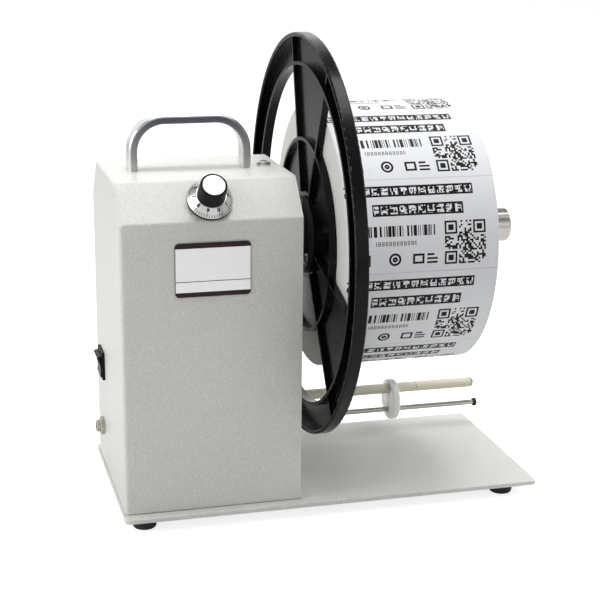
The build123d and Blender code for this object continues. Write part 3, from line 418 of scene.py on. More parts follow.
def band_mask(plane, band):
    """Black band with a row of blocky white figures knocked out of it."""
    n = plane.n
    u_low, u_high, v_low, v_high = band
    inside = plane.rectangle(u_low + BAND_START_MARGIN, u_high - BAND_END_MARGIN,
                             v_low + BAND_SIDE_MARGIN, v_high - BAND_SIDE_MARGIN)
    place = n.maths("MODULO", n.maths("SUBTRACT", u_high * MM, plane.u), FIGURE_PITCH * MM)
    column = plane.near_line(place, FIGURE_PITCH / 2, FIGURE_HALF_WIDTH)
    strokes = n.either(plane.cells(*UPRIGHT_STROKE, STROKE_SHARE, v_low),
                       plane.cells(*LEVEL_STROKE, STROKE_SHARE, v_high))
    return n.without(plane.rectangle(*band), n.both(inside, n.both(column, strokes)))


def number_mask(plane):
    """Row of small figures like an 8, each a bar with two holes."""
    n = plane.n
    place = n.maths("MODULO", plane.u, NUMBER_PITCH * MM)
    middle = NUMBER_PITCH / 2
    figures = n.both(plane.rectangle(*NUMBER_ROW), plane.near_line(place, middle, NUMBER_HALF_WIDTH))
    holes = n.either(*(plane.rectangle(0, ENDLESS, low, high) for low, high in NUMBER_HOLES))
    holes = n.both(holes, plane.near_line(place, middle, NUMBER_HOLE_HALF_WIDTH))
    return n.without(figures, holes)


def sign_masks(plane):
    """Three plain signs: a frame, two rings one in the other, and a frame with three bars beside it."""
    n = plane.n
    centred = plane.moved(*RING_CENTRE)
    reach = n.distance(centred.u, centred.v)
    return [
        plane.hollow(*LEFT_SIGN, LEFT_SIGN_WALL),
        *(plane.near_line(reach, radius, RING_HALF_WALL) for radius in RING_RADII),
        plane.hollow(*RIGHT_SIGN, RIGHT_SIGN_WALL),
        *(plane.rectangle(*bar) for bar in SIGN_BARS),
    ]


def code_mask(plane):
    """Square block of random cells with three plain corner frames."""
    n = plane.n
    cell = CODE_SIDE / CODE_CELLS
    code = plane.moved(CODE_U, CODE_V)
    mask = n.both(plane.rectangle(CODE_U, CODE_U + CODE_SIDE, CODE_V, CODE_V + CODE_SIDE),
                  code.cells(cell, cell, CODE_SHARE, CODE_SEED))
    far = CODE_SIDE - CODE_CORNER_CELLS * cell
    for corner_u, corner_v in ((0, far), (far, far), (0, 0)):
        low_u, low_v = CODE_U + corner_u, CODE_V + corner_v
        for inset, filled in CODE_CORNER_LAYERS:
            near, wide = inset * cell, (CODE_CORNER_CELLS - inset) * cell
            layer = plane.rectangle(low_u + near, low_u + wide, low_v + near, low_v + wide)
            mask = n.either(mask, layer) if filled else n.without(mask, layer)
    return mask


def label_print(n, effects, u, s, layout):
    """Masks of the labels' generic print and of the gaps between labels.

    u runs along the roll from its reel side and s runs round it, both in metres.
    """
    pitch = layout.label_pitch
    turned = n.maths("ADD", n.maths("SUBTRACT", s, layout.label_start), pitch * LABELS_ADDED)
    plane = PrintPlane(n, effects, u, n.maths("MODULO", turned, pitch))
    bars = n.both(plane.rectangle(*BARCODE), plane.cells(BAR_WIDTH, ENDLESS, BAR_SHARE, BAR_SEED))
    ink = code_mask(plane)
    for mask in (*(band_mask(plane, band) for band in BANDS), bars, number_mask(plane), *sign_masks(plane)):
        ink = n.either(ink, mask)
    return ink, plane.rectangle(-ENDLESS, ENDLESS, 0, GAP_WIDTH)


# ------------------------------------------------------------------ materials

class Finish:
    """One material being built: its nodes, its shader and the surface coordinates."""

    def __init__(self, name, **shader_values):
        self.material = bpy.data.materials.new(name)
        self.n = fresh_nodes(self.material)
        self.shader = self.n.add("ShaderNodeBsdfPrincipled")
        self.n.add("ShaderNodeOutputMaterial", {"Surface": self.shader.outputs[0]})
        self.at = self.n.coordinates()
        for socket, value in shader_values.items():
            self.set(socket.replace("_", " "), value)

    def set(self, socket, value):
        self.n.feed(self.shader.inputs[socket], value)

    def bump(self, height, distance, strength):
        node = self.n.add("ShaderNodeBump", {"Strength": strength, "Distance": distance, "Height": height})
        self.set("Normal", node.outputs[0])

    def grain(self, effects, size):
        return self.n.group(effects["grain"], {"Vector": self.at, "Size": size})

    def marks(self, effects, scale):
        return self.n.group(effects["smudge"], {"Vector": self.at, "Scale": scale})

    def brushing(self, effects, stretch):
        return self.n.group(effects["brushing"], {"Vector": self.at, "Stretch": stretch})


def powder_coat(effects, finish):
    """Warm light grey textured coat whose flecks are glossier and carry painted glints."""
    f = Finish("powder_coat", Coat_Weight=0.18, Coat_Roughness=0.25)
    n = f.n
    colour = finish.powder_colour
    grain = f.grain(effects, finish.powder_grain)
    marks = f.marks(effects, 9.0)
    tone = n.mix(grain["Tone"], shade(colour, 0.92), shade(colour, 1.05))
    # Painted glints: the flecks are painted lighter than the coat around them
    tone = n.mix(grain["Fleck"], tone, shade(colour, 1.2))
    f.set("Base Color", n.mix(n.both(grain["Patches"], 0.06), tone, shade(colour, 0.85)))
    f.set("Roughness", n.vary(0.42, (grain["Fleck"], -0.2), (marks["Smudge"], 0.05)))
    f.bump(grain["Height"], 0.0004, 0.8)
    return f.material


def moulded_black(effects, name, colour, roughness, size, depth, shine=0.3):
    """Black moulded plastic with a fine grain and faint handling marks."""
    f = Finish(name, Specular_IOR_Level=shine)
    n = f.n
    grain = f.grain(effects, size)
    marks = f.marks(effects, 16.0)
    tone = n.mix(grain["Tone"], shade(colour), shade(colour, 1.5))
    f.set("Base Color", n.mix(n.both(marks["Smudge"], 0.25), tone, shade(colour, 2.0, lift=0.001)))
    f.set("Roughness", n.vary(roughness, (marks["Smudge"], 0.09), (marks["Scratch"], 0.08)))
    f.bump(grain["Height"], depth, 0.5)
    return f.material


def turned_metal(effects, name, colour, roughness, pitch, depth):
    """Metal with lathe rings round the spindle's axis."""
    f = Finish(name, Metallic=1.0)
    n = f.n
    rings = n.group(effects["turning"], {"Vector": f.at, "Axis Y": 0.0, "Axis Z": SPINDLE_Z,
                                         "Pitch": pitch})
    marks = f.marks(effects, 40.0)
    f.set("Base Color", n.mix(rings["Height"], shade(colour, 0.88), shade(colour)))
    f.set("Roughness", n.vary(roughness, (rings["Height"], 0.12), (marks["Smudge"], 0.08)))
    f.bump(rings["Height"], depth, 0.4)
    return f.material


def brushed_metal(effects, name, colour, roughness, stretch, depth):
    """Metal with fine lines along its length."""
    f = Finish(name, Metallic=1.0)
    n = f.n
    lines = f.brushing(effects, stretch)
    marks = f.marks(effects, 30.0)
    f.set("Base Color", n.mix(lines["Tone"], shade(colour, 0.9), shade(colour)))
    f.set("Roughness", n.vary(roughness, (lines["Tone"], 0.1), (marks["Smudge"], 0.1)))
    f.bump(lines["Height"], depth, 0.35)
    return f.material


# Bend radius of the carry handle, then where the painted dark reflection on its flat sides starts and
# is full: how far in from the handle's outer edge, and how far in from its flat sides
HANDLE_BEND = 0.025
HANDLE_DARK_REFLECTION_EDGE = (0.0006, 0.0018)
HANDLE_DARK_REFLECTION_SIDE = (0.0009, 0.0002)


def handle_metal(effects):
    """Bright bar with a painted dark reflection on its flat sides, which grows lighter down the legs."""
    f = Finish("handle_metal", Metallic=1.0)
    n = f.n
    low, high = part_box("carry_handle")
    middle, half = (low + high) / 2, (high - low) / 2
    x, y, z = n.split(f.at)
    beside = n.maths("ABSOLUTE", n.maths("SUBTRACT", x, middle.x))
    beside = n.maths("MAXIMUM", n.maths("SUBTRACT", beside, half.x - HANDLE_BEND), 0.0)
    above = n.maths("MAXIMUM", n.maths("SUBTRACT", z, high.z - HANDLE_BEND), 0.0)
    inner = n.remap(n.maths("SUBTRACT", HANDLE_BEND, n.distance(beside, above)), *HANDLE_DARK_REFLECTION_EDGE)
    across = n.maths("ABSOLUTE", n.maths("SUBTRACT", y, middle.y))
    flat = n.remap(across, *(half.y - inset for inset in HANDLE_DARK_REFLECTION_SIDE))
    lines = f.brushing(effects, (40.0, 2500.0, 40.0))
    marks = f.marks(effects, 30.0)
    # Painted dark reflection on the flat sides: darkest at the top of the bar and lighter down the legs
    side = n.mix(n.remap(z, low.z, high.z), (0.42, 0.42, 0.41, 1), (0.075, 0.082, 0.11, 1))
    bright = n.mix(lines["Tone"], (0.74, 0.75, 0.76, 1), (0.84, 0.84, 0.85, 1))
    f.set("Base Color", n.mix(n.both(flat, inner), bright, side))
    f.set("Roughness", n.vary(0.24, (lines["Tone"], 0.08), (marks["Smudge"], 0.1)))
    f.bump(lines["Height"], 0.00002, 0.35)
    return f.material


def pale_plastic(effects, name, colour, roughness, size, soft):
    """Ivory or white plastic with a faint drawn grain; soft is how much light scatters inside it."""
    f = Finish(name, Subsurface_Weight=soft, Subsurface_Scale=0.03, Subsurface_Radius=(1.0, 0.95, 0.85))
    n = f.n
    grain = f.grain(effects, size)
    tone = n.mix(grain["Patches"], shade(colour), shade(colour, 0.93))
    f.set("Base Color", n.mix(n.both(grain["Tone"], 0.3), tone, shade(colour, 0.96)))
    f.set("Roughness", n.vary(roughness, (grain["Tone"], 0.12)))
    f.bump(grain["Height"], 0.00003, 0.4)
    return f.material


# How deep the printed face goes, and the scale of the wound layers that show on the roll's sides
FACE_DEPTH = 0.0003
LAYER_THICKNESS = 0.00035


def label_stock(effects, finish, layout):
    """Wound label web: printed face round the roll, stacked layers on its sides."""
    f = Finish("label_stock", Specular_IOR_Level=0.2)
    n = f.n
    x, y, z = n.split(f.at)
    z = n.maths("SUBTRACT", z, SPINDLE_Z)
    angle = n.maths("ARCTAN2", z, n.maths("MULTIPLY", y, -1.0))
    radius = n.distance(y, z)
    face = n.maths("GREATER_THAN", radius, ROLL_RADIUS - FACE_DEPTH)
    u = n.maths("SUBTRACT", x, ROLL_LOW.x)
    ink, gap = label_print(n, effects, u, n.maths("MULTIPLY", angle, ROLL_RADIUS), layout)
    ink = n.both(ink, face)
    gap = n.both(gap, face)
    cloud = n.noise(f.at, 45.0, 4.0, 0.6)
    paper = n.mix(cloud, shade(finish.paper_colour, 0.975), shade(finish.paper_colour))
    wound = n.join(n.maths("DIVIDE", radius, LAYER_THICKNESS), n.maths("MULTIPLY", angle, 0.6), 0.0)
    layers = n.noise(wound, 1.0, 3.0, 0.7)
    side = n.mix(n.remap(layers, 0.3, 0.7), (0.66, 0.65, 0.62, 1), (0.86, 0.855, 0.83, 1))
    tone = n.mix(n.both(gap, 0.55), n.mix(face, side, paper), (0.4, 0.41, 0.43, 1))
    f.set("Base Color", n.mix(ink, tone, shade(finish.ink_colour)))
    f.set("Roughness", n.vary(0.55, (ink, -0.12)))
    fibre = n.noise(f.at, 900.0, 4.0, 0.7)
    height = n.vary(0.0, (fibre, 0.15), (gap, -1.0), (n.without(layers, face), 2.0))
    f.bump(height, 0.00008, 0.7)
    return f.material


# Width of the core's spiral ply, and the share of it that is seam
PLY_WIDTH = 0.02
SEAM_SHARE = 0.03


def core_board():
    """Wound grey-brown board with the spiral seam of its plies."""
    f = Finish("core_board", Roughness=0.85)
    n = f.n
    x, y, z = n.split(f.at)
    angle = n.maths("ARCTAN2", n.maths("SUBTRACT", z, SPINDLE_Z), y)
    turn = n.maths("ADD", n.maths("DIVIDE", x, PLY_WIDTH), n.maths("DIVIDE", angle, math.tau))
    seam = n.maths("LESS_THAN", n.maths("FRACT", turn), SEAM_SHARE)
    fibre = n.noise(f.at, 700.0, 4.0, 0.7)
    tone = n.mix(fibre, (0.34, 0.25, 0.16, 1), (0.5, 0.39, 0.26, 1))
    f.set("Base Color", n.mix(n.both(seam, 0.5), tone, (0.2, 0.14, 0.09, 1)))
    f.bump(n.maths("SUBTRACT", fibre, seam), 0.0001, 0.5)
    return f.material


# Layout of the name plate, in millimetres up from its foot or in from its edges
PLATE_RIM = 0.45
PLATE_TOP_BAR, PLATE_FOOT_BAR = 3.6, 3.3
PLATE_RULE = (10.4, 10.9)


def name_plate_foil(effects):
    """Bare name plate: silver foil with a dark rim, two dark bars and a thin rule."""
    f = Finish("name_plate_foil", Specular_IOR_Level=0.3)
    n = f.n
    x, _, z = n.split(f.at)
    plane = PrintPlane(n, effects, n.maths("SUBTRACT", x, PLATE_LOW.x), n.maths("SUBTRACT", z, PLATE_LOW.z))
    wide, high = (PLATE_HIGH.x - PLATE_LOW.x) / MM, (PLATE_HIGH.z - PLATE_LOW.z) / MM
    inside = plane.rectangle(PLATE_RIM, wide - PLATE_RIM, PLATE_RIM, high - PLATE_RIM)
    bars = n.either(plane.rectangle(-ENDLESS, ENDLESS, high - PLATE_TOP_BAR, ENDLESS),
                    plane.rectangle(-ENDLESS, ENDLESS, -ENDLESS, PLATE_FOOT_BAR))
    rule = plane.rectangle(0, wide, *PLATE_RULE)
    lines = f.brushing(effects, (30.0, 30.0, 9000.0))
    foil = n.mix(lines["Tone"], (0.9, 0.89, 0.9, 1), (0.96, 0.95, 0.96, 1))
    dark = n.either(n.either(bars, rule), n.without(0.8, inside))
    f.set("Base Color", n.mix(dark, foil, (0.018, 0.002, 0.004, 1)))
    f.set("Metallic", n.without(0.7, dark))
    f.set("Roughness", n.vary(0.42, (dark, -0.08)))
    f.bump(n.vary(0.0, (lines["Height"], 0.2), (bars, -0.6)), 0.00004, 0.5)
    return f.material


SPUN_RING_PITCH = 0.00016


def skirt_metal():
    """Spun silver skirt and cap of the knob, with rings round the knob's own axis."""
    f = Finish("knob_silver", Metallic=1.0)
    n = f.n
    offset = n.add("ShaderNodeVectorMath", {0: f.at, 1: KNOB_CENTRE}, operation="SUBTRACT").outputs[0]
    along = n.add("ShaderNodeVectorMath", {0: offset, 1: KNOB_OUT},
                  operation="DOT_PRODUCT").outputs["Value"]
    length = n.add("ShaderNodeVectorMath", {0: offset}, operation="LENGTH").outputs["Value"]
    squared = n.maths("SUBTRACT", n.maths("MULTIPLY", length, length), n.maths("MULTIPLY", along, along))
    radius = n.maths("SQRT", n.maths("MAXIMUM", squared, 0.0))
    rings = n.noise(n.join(n.maths("DIVIDE", radius, SPUN_RING_PITCH), 0.0, 0.0), 1.0, 3.0, 0.7)
    f.set("Base Color", n.mix(rings, (0.58, 0.6, 0.58, 1), (0.72, 0.73, 0.71, 1)))
    f.set("Roughness", n.vary(0.24, (rings, 0.14)))
    f.bump(rings, 0.00003, 0.4)
    return f.material


def rubber(effects, name, colour):
    """Matt rubber with a dusty bloom."""
    f = Finish(name)
    n = f.n
    grain = f.grain(effects, 0.0005)
    bloom = n.both(grain["Patches"], 0.4)
    f.set("Base Color", n.mix(bloom, shade(colour), shade(colour, 1.8, lift=0.01)))
    f.set("Roughness", n.vary(0.6, (grain["Tone"], 0.1)))
    f.bump(grain["Height"], 0.00005, 0.5)
    return f.material


# Length and width of one cell of track on the control board, in millimetres
TRACK_CELL = (6, 0.9)


def circuit_board(effects):
    """Green solder mask with pale tracks on a grid."""
    f = Finish("circuit_board", Coat_Weight=0.4)
    n = f.n
    x, y, _ = n.split(f.at)
    tracks = PrintPlane(n, effects, x, y).cells(*TRACK_CELL, share=0.35, seed=2.0)
    f.set("Base Color", n.mix(tracks, (0.01, 0.1, 0.04, 1), (0.03, 0.2, 0.08, 1)))
    f.set("Roughness", n.vary(0.3, (tracks, 0.15)))
    f.bump(tracks, 0.00005, 0.6)
    return f.material


# ------------------------------------------------------------------ operators

def paint(material, *names):
    """Gives CAD nodes one material in all their slots."""
    for name in names:
        mesh = NODES[name].data
        mesh.materials.clear()
        mesh.materials.append(material)


class RewinderOperator:
    """What every operator here shares."""

    bl_options = {"REGISTER", "UNDO"}


class REWINDER_OT_housing(RewinderOperator, bpy.types.Operator):
    """Powder coat on the housing, side plate and base plate"""

    bl_idname = "rewinder.housing"
    bl_label = "Housing finish"

    def execute(self, context):
        coat = powder_coat(shared_effects(), context.scene.rewinder_finish)
        paint(coat, "housing_cover", "side_plate", "base_plate")
        return {"FINISHED"}


class REWINDER_OT_name_plate(RewinderOperator, bpy.types.Operator):
    """Bare foil on the name plate"""

    bl_idname = "rewinder.name_plate"
    bl_label = "Name plate"

    def execute(self, context):
        paint(name_plate_foil(shared_effects()), "name_plate")
        return {"FINISHED"}


class REWINDER_OT_handle(RewinderOperator, bpy.types.Operator):
    """Polished metal with a painted dark reflection on the carry handle, and nickel on the screws, nuts and
    standoffs
    """

    bl_idname = "rewinder.handle"
    bl_label = "Handle and screws"

    def execute(self, context):
        effects = shared_effects()
        paint(handle_metal(effects), "carry_handle")
        screw = brushed_metal(effects, "screw_nickel", (0.66, 0.65, 0.62), roughness=0.2,
                              stretch=(700.0, 700.0, 700.0), depth=0.00004)
        paint(screw, "cover_screws", "base_screws", "handle_screws", "bearing_screws", "hub_screws",
              "set_screws", "motor_screws", "motor_pulley_screw", "rod_nuts", "potentiometer_nut",
              "board_standoffs")
        return {"FINISHED"}


class REWINDER_OT_reel(RewinderOperator, bpy.types.Operator):
    """Glossy moulded reel flange, its grey hub, and the turned pulleys and bearing housing"""

    bl_idname = "rewinder.reel"
    bl_label = "Reel flange and hub"

    def execute(self, context):
        effects = shared_effects()
        black = moulded_black(effects, "reel_black", context.scene.rewinder_finish.flange_colour,
                              roughness=0.17, size=0.0016, depth=0.00002, shine=0.16)
        paint(black, "reel_flange")
        hub = turned_metal(effects, "hub_aluminium", (0.6, 0.61, 0.62), roughness=0.3, pitch=0.0004,
                           depth=0.00003)
        paint(hub, "spindle_pulley", "motor_pulley", "bearing_housing")
        grey = moulded_black(effects, "hub_grey", (0.03, 0.031, 0.03), roughness=0.4, size=0.0008,
                             depth=0.00003)
        paint(grey, "reel_hub")
        return {"FINISHED"}


class REWINDER_OT_roll(RewinderOperator, bpy.types.Operator):
    """Printed label stock on the roll and board on its core"""

    bl_idname = "rewinder.roll"
    bl_label = "Label roll"

    def execute(self, context):
        scene = context.scene
        paint(label_stock(shared_effects(), scene.rewinder_finish, scene.rewinder_print), "label_roll")
        paint(core_board(), "paper_core")
        return {"FINISHED"}


class REWINDER_OT_spindle(RewinderOperator, bpy.types.Operator):
    """Polished spindle, bearings, drive parts and control board"""

    bl_idname = "rewinder.spindle"
    bl_label = "Spindle and drive"

    def execute(self, context):
        effects = shared_effects()
        chrome = turned_metal(effects, "spindle_chrome", (0.58, 0.56, 0.51), roughness=0.1, pitch=0.0006,
                              depth=0.00001)
        paint(chrome, "spindle_shaft")
        steel = turned_metal(effects, "bearing_steel", (0.6, 0.6, 0.6), roughness=0.22, pitch=0.0005,
                             depth=0.00003)
        paint(steel, "bearing_inner_rings", "bearing_outer_rings", "retaining_ring", "snap_ring",
              "motor_shaft")
        case = brushed_metal(effects, "motor_case", (0.5, 0.5, 0.5), roughness=0.34,
                             stretch=(60.0, 900.0, 900.0), depth=0.00004)
        paint(case, "gearbox", "motor_can", "motor_bracket", "potentiometer")
        paint(rubber(effects, "belt_rubber", (0.05, 0.16, 0.05)), "drive_belt")
        paint(circuit_board(effects), "control_board")
        black = moulded_black(effects, "component_black", (0.02, 0.02, 0.022), roughness=0.45,
                              size=0.0006, depth=0.00003)
        paint(black, "board_components")
        return {"FINISHED"}


class REWINDER_OT_rods(RewinderOperator, bpy.types.Operator):
    """Guide tubes, tension bar and edge guide, and the rubber parts"""

    bl_idname = "rewinder.rods"
    bl_label = "Guide rods"

    def execute(self, context):
        effects = shared_effects()
        finish = context.scene.rewinder_finish
        ivory = pale_plastic(effects, "tube_ivory", finish.tube_colour, roughness=0.38, size=0.0006,
                             soft=0.1)
        paint(ivory, "guide_tube_inner", "guide_tube_outer")
        white = pale_plastic(effects, "guide_white", finish.guide_colour, roughness=0.4, size=0.0008,
                             soft=1.0)
        paint(white, "edge_guide")
        rod = brushed_metal(effects, "rod_steel", (0.5, 0.49, 0.44), roughness=0.12,
                            stretch=(25.0, 1500.0, 1500.0), depth=0.00002)
        paint(rod, "guide_rod", "tension_bar", "potentiometer_shaft")
        foot = rubber(effects, "foot_rubber", (0.008, 0.009, 0.012))
        paint(foot, "rubber_feet", "tension_bar_cap", "grip_rings")
        return {"FINISHED"}


class REWINDER_OT_controls(RewinderOperator, bpy.types.Operator):
    """Finishes of the speed knob, rocker switch and power inlet"""

    bl_idname = "rewinder.controls"
    bl_label = "Knob, switch and inlet"

    def execute(self, context):
        effects = shared_effects()
        knob = moulded_black(effects, "knob_black", (0.003, 0.003, 0.004), roughness=0.36, size=0.0007,
                             depth=0.00004, shine=0.12)
        paint(knob, "knob_body")
        paint(skirt_metal(), "knob_skirt", "knob_cap")
        switch = moulded_black(effects, "switch_black", (0.004, 0.0045, 0.0055), roughness=0.3,
                               size=0.0009, depth=0.00003, shine=0.1)
        paint(switch, "switch_body", "switch_rocker")
        inlet = brushed_metal(effects, "inlet_nickel", (0.55, 0.53, 0.45), roughness=0.14,
                              stretch=(900.0, 900.0, 900.0), depth=0.00004)
        paint(inlet, "power_inlet", "inlet_nut")
        return {"FINISHED"}


# Surface of the knob's skirt: distance from its axis and height above the slope, at its top and its foot
SKIRT_TOP, SKIRT_FOOT = (0.0102, 0.0085), (0.0153, 0.0031)
DIGIT_RADIUS = 0.0116
TICK_OUTER_RADIUS = 0.0149
TICKS_PER_DIGIT = 5
TICK_SIZE, DIGIT_TICK_SIZE = (0.0004, 0.0019), (0.00055, 0.0026)
# Softened corner of a tick, as a share of its width
TICK_CORNER = 0.35
PRINT_THICKNESS = 0.00005
# Font size over the height of a digit, and how far the strokes are swollen
FONT_FACTOR = 1.4
STROKE_SWELL = 0.0002
# Turn of the first digit away from the dial's lowest point
DIAL_TURN = math.radians(18)


def dial_place(turn, radius):
    """Matrix of a place on the knob's skirt: local X runs round the dial and local Y up the skirt."""
    run, drop = SKIRT_FOOT[0] - SKIRT_TOP[0], SKIRT_TOP[1] - SKIRT_FOOT[1]
    height = SKIRT_TOP[1] - (radius - SKIRT_TOP[0]) * drop / run
    outward = Matrix.Rotation(turn, 3, KNOB_OUT) @ Vector((1, 0, 0)).cross(KNOB_OUT)
    up_skirt = (KNOB_OUT * drop - outward * run).normalized()
    facing = (KNOB_OUT * run + outward * drop).normalized()
    columns = Matrix((up_skirt.cross(facing), up_skirt, facing)).transposed()
    return Matrix.Translation(KNOB_CENTRE + outward * radius + KNOB_OUT * height) @ columns.to_4x4()


def settle(obj, material, body):
    """Puts an object's place into its mesh, gives it its material and ties it to a body."""
    bpy.ops.object.select_all(action="DESELECT")
    bpy.context.view_layer.objects.active = obj
    obj.select_set(True)
    bpy.ops.object.transform_apply(location=True, rotation=True, scale=True)
    obj.data.materials.clear()
    obj.data.materials.append(material)
    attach(obj, body)


def join(objects, name):
    """Joins objects into the first one."""
    bpy.ops.object.select_all(action="DESELECT")
    for obj in objects:
        obj.select_set(True)
    bpy.context.view_layer.objects.active = objects[0]
    bpy.ops.object.join()
    objects[0].name = name
    return objects[0]


def dial_ink():
    """Black print of the dial, slightly worn."""
    f = Finish("dial_ink", Specular_IOR_Level=0.2)
    n = f.n
    worn = n.noise(f.at, 2500.0, 3.0)
    f.set("Base Color", n.mix(worn, (0.006, 0.006, 0.006, 1), (0.02, 0.02, 0.02, 1)))
    f.set("Roughness", n.vary(0.45, (worn, 0.2)))
    f.bump(worn, 0.00001, 0.4)
    return f.material


def dial_tick(width, length):
    """One printed division mark: a bar with softened corners that starts at its own origin."""
    bpy.ops.object.select_all(action="DESELECT")
    bpy.ops.mesh.primitive_cube_add(size=1)
    tick = bpy.context.object
    bpy.ops.object.mode_set(mode="EDIT")
    bpy.ops.transform.resize(value=(width, length, 2 * PRINT_THICKNESS))
    bpy.ops.transform.translate(value=(0, length / 2, 0))
    bpy.ops.mesh.select_all(action="DESELECT")
    mesh = bmesh.from_edit_mesh(tick.data)
    for edge in mesh.edges:
        low, high = (vertex.co for vertex in edge.verts)
        edge.select_set(abs(high.z - low.z) > PRINT_THICKNESS)
    bmesh.update_edit_mesh(tick.data)
    bpy.ops.mesh.bevel(offset=width * TICK_CORNER, segments=2)
    bpy.ops.object.mode_set(mode="OBJECT")
    return tick


class REWINDER_OT_dial(RewinderOperator, bpy.types.Operator):
    """Digits and division marks on the knob's skirt"""

    bl_idname = "rewinder.dial"
    bl_label = "Dial print"

    def execute(self, context):
        layout = context.scene.rewinder_print
        ink = dial_ink()
        count = layout.dial_digits
        digits = []
        for i in range(count):
            bpy.ops.object.text_add()
            text = context.object.data
            text.body = str(i)
            text.size = layout.digit_height * FONT_FACTOR
            text.align_x, text.align_y = "CENTER", "CENTER"
            text.extrude = PRINT_THICKNESS
            text.offset = STROKE_SWELL
            text.resolution_u = 3
            bpy.ops.object.convert(target="MESH")
            context.object.matrix_world = dial_place(i * math.tau / count + DIAL_TURN, DIGIT_RADIUS)
            digits.append(context.object)
        settle(join(digits, "dial_digits"), ink, "speed_knob")
        divisions = count * TICKS_PER_DIGIT
        thin, thick = dial_tick(*TICK_SIZE), dial_tick(*DIGIT_TICK_SIZE)
        marks = []
        for i in range(divisions):
            model = thin if i % TICKS_PER_DIGIT else thick
            tick = bpy.data.objects.new("tick", model.data.copy())
            context.scene.collection.objects.link(tick)
            tick.matrix_world = dial_place(i * math.tau / divisions + DIAL_TURN, TICK_OUTER_RADIUS)
            marks.append(tick)
        for model in (thin, thick):
            bpy.data.objects.remove(model)
        settle(join(marks, "dial_marks"), ink, "speed_knob")
        return {"FINISHED"}


# ------------------------------------------------------------------ studio

FLOOR_SIZE = 12
# What the floor adds to its own light, as the camera sees it and as gloss mirrors it
FLOOR_GLOW, FLOOR_MIRROR_GLOW = 0.78, 0.2
LIGHT_PLACES = {
    "key": (-1.7, -0.1, 0.8),
    "top": (0.1, 0.1, 1.9),
    "side": (1.4, -0.3, 1.4),
    "back": (0.2, 1.5, 1.2),
}
LIGHT_TARGET = (0, 0, 0.15)
LIGHT_SIZE = (1.2, 1.0)
# Height of the sky where the mirrored white backdrop starts and stops fading, and its strength there
CEILING_START, CEILING_FADE = (0.3, 0.62), (1.0, 0.2)
SENSOR_WIDTH = 36
CAMERA_CLIP = (0.05, 50)


def studio_white():
    """Pale floor that keeps the shadow and reads as white to the camera."""
    material = bpy.data.materials.new("studio_white")
    n = fresh_nodes(material)
    tone = n.mix(n.noise(n.coordinates(), 3.0), (0.68, 0.68, 0.68, 1), (0.71, 0.71, 0.71, 1))
    path = n.add("ShaderNodeLightPath").outputs
    mirrored = n.either(path["Is Glossy Ray"], path["Is Transmission Ray"])
    glow = n.vary(0.0, (path["Is Camera Ray"], FLOOR_GLOW), (mirrored, FLOOR_MIRROR_GLOW))
    paper = n.add("ShaderNodeBsdfDiffuse", {"Color": tone})
    light = n.add("ShaderNodeEmission", {"Color": (1, 1, 1, 1), "Strength": glow})
    lit_paper = n.add("ShaderNodeAddShader", {0: paper.outputs[0], 1: light.outputs[0]})
    n.add("ShaderNodeOutputMaterial", {"Surface": lit_paper.outputs[0]})
    return material


def set_world(scene, ambient):
    """Even room light, white to the camera; gloss mirrors a white backdrop under a dim ceiling."""
    world = bpy.data.worlds.new("studio_room")
    scene.world = world
    n = fresh_nodes(world)
    path = n.add("ShaderNodeLightPath").outputs
    seen = n.either(path["Is Camera Ray"], path["Is Transmission Ray"])
    height = n.split(n.add("ShaderNodeTexCoord").outputs["Generated"])[2]
    mirrored = n.both(path["Is Glossy Ray"], n.remap(height, *CEILING_START, *CEILING_FADE))
    strength = n.either(n.either(seen, mirrored), ambient)
    background = n.add("ShaderNodeBackground", {"Color": (1, 1, 1, 1), "Strength": strength})
    n.add("ShaderNodeOutputWorld", {"Surface": background.outputs[0]})


def add_light(name, place, power):
    """A rectangular area light that faces the machine."""
    light = bpy.data.lights.new(name, "AREA")
    light.shape = "RECTANGLE"
    light.size, light.size_y = LIGHT_SIZE
    light.energy = power
    obj = bpy.data.objects.new(name, light)
    bpy.context.scene.collection.objects.link(obj)
    aim = (Vector(LIGHT_TARGET) - Vector(place)).to_track_quat("-Z", "Y")
    obj.matrix_world = Matrix.Translation(place) @ aim.to_matrix().to_4x4()


def camera_matrix(studio):
    """Camera placed by its pan to the right, dip and lean."""
    pan, dip, lean = studio.camera_pan, studio.camera_dip, studio.camera_lean
    forward = Vector((math.sin(pan) * math.cos(dip), math.cos(pan) * math.cos(dip), -math.sin(dip)))
    level = Vector((math.cos(pan), -math.sin(pan), 0))
    upright = level.cross(forward)
    right = level * math.cos(lean) + upright * math.sin(lean)
    up = upright * math.cos(lean) - level * math.sin(lean)
    turn = Matrix((right, up, -forward)).transposed().to_4x4()
    return Matrix.Translation(studio.camera_place) @ turn


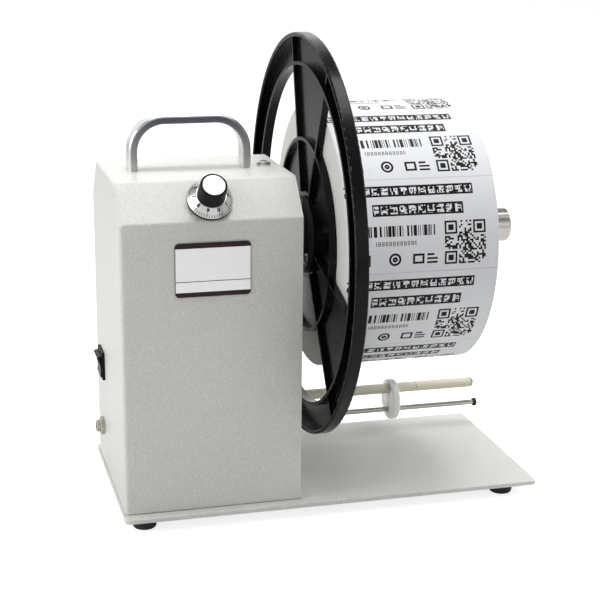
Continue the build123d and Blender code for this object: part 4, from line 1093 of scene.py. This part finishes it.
class REWINDER_OT_stage(RewinderOperator, bpy.types.Operator):
    """Floor, lights, world and camera"""

    bl_idname = "rewinder.stage"
    bl_label = "Studio"

    def execute(self, context):
        scene = context.scene
        studio = scene.rewinder_studio
        bpy.ops.object.select_all(action="DESELECT")
        bpy.ops.mesh.primitive_plane_add(size=FLOOR_SIZE, location=(0, 0, 0))
        floor = context.object
        floor.name = "studio_floor"
        floor.data.materials.append(studio_white())
        for name, place in LIGHT_PLACES.items():
            add_light(f"{name}_light", place, getattr(studio, f"{name}_power"))
        set_world(scene, studio.ambient)
        camera = bpy.data.cameras.new("photo_camera")
        camera.lens = studio.lens
        camera.sensor_width = SENSOR_WIDTH
        camera.clip_start, camera.clip_end = CAMERA_CLIP
        obj = bpy.data.objects.new("photo_camera", camera)
        scene.collection.objects.link(obj)
        obj.matrix_world = camera_matrix(studio)
        scene.camera = obj
        scene.view_settings.view_transform = "Standard"
        return {"FINISHED"}


# ------------------------------------------------------------------ panel and start

class REWINDER_PT_panel(bpy.types.Panel):
    """Lists the settings and steps in the sidebar"""

    bl_idname = "REWINDER_PT_panel"
    bl_label = "Bench label rewinder"
    bl_space_type = "VIEW_3D"
    bl_region_type = "UI"
    bl_category = "Rewinder"

    def draw(self, context):
        layout = self.layout
        for group in ("rewinder_finish", "rewinder_print", "rewinder_studio"):
            settings = getattr(context.scene, group)
            box = layout.box()
            for name in settings.bl_rna.properties.keys():
                if name not in {"rna_type", "name"}:
                    box.prop(settings, name)
        for operator in OPERATORS:
            layout.operator(operator.bl_idname)


GROUPS = {
    "rewinder_finish": FinishSettings,
    "rewinder_print": PrintSettings,
    "rewinder_studio": StudioSettings,
}
OPERATORS = (
    REWINDER_OT_housing, REWINDER_OT_name_plate, REWINDER_OT_handle, REWINDER_OT_reel, REWINDER_OT_roll,
    REWINDER_OT_spindle, REWINDER_OT_rods, REWINDER_OT_controls, REWINDER_OT_dial, REWINDER_OT_stage,
)


def register():
    """Makes the settings, operators and panel known to Blender."""
    for name, group in GROUPS.items():
        bpy.utils.register_class(group)
        setattr(bpy.types.Scene, name, PointerProperty(type=group))
    for operator in OPERATORS:
        bpy.utils.register_class(operator)
    bpy.utils.register_class(REWINDER_PT_panel)


def unregister():
    """Takes them away again."""
    bpy.utils.unregister_class(REWINDER_PT_panel)
    for operator in reversed(OPERATORS):
        bpy.utils.unregister_class(operator)
    for name, group in reversed(GROUPS.items()):
        delattr(bpy.types.Scene, name)
        bpy.utils.unregister_class(group)


def main():
    """Builds the whole picture."""
    register()
    for operator in OPERATORS:
        area, name = operator.bl_idname.split(".")
        getattr(getattr(bpy.ops, area), name)()


if __name__ == "__main__":
    main()
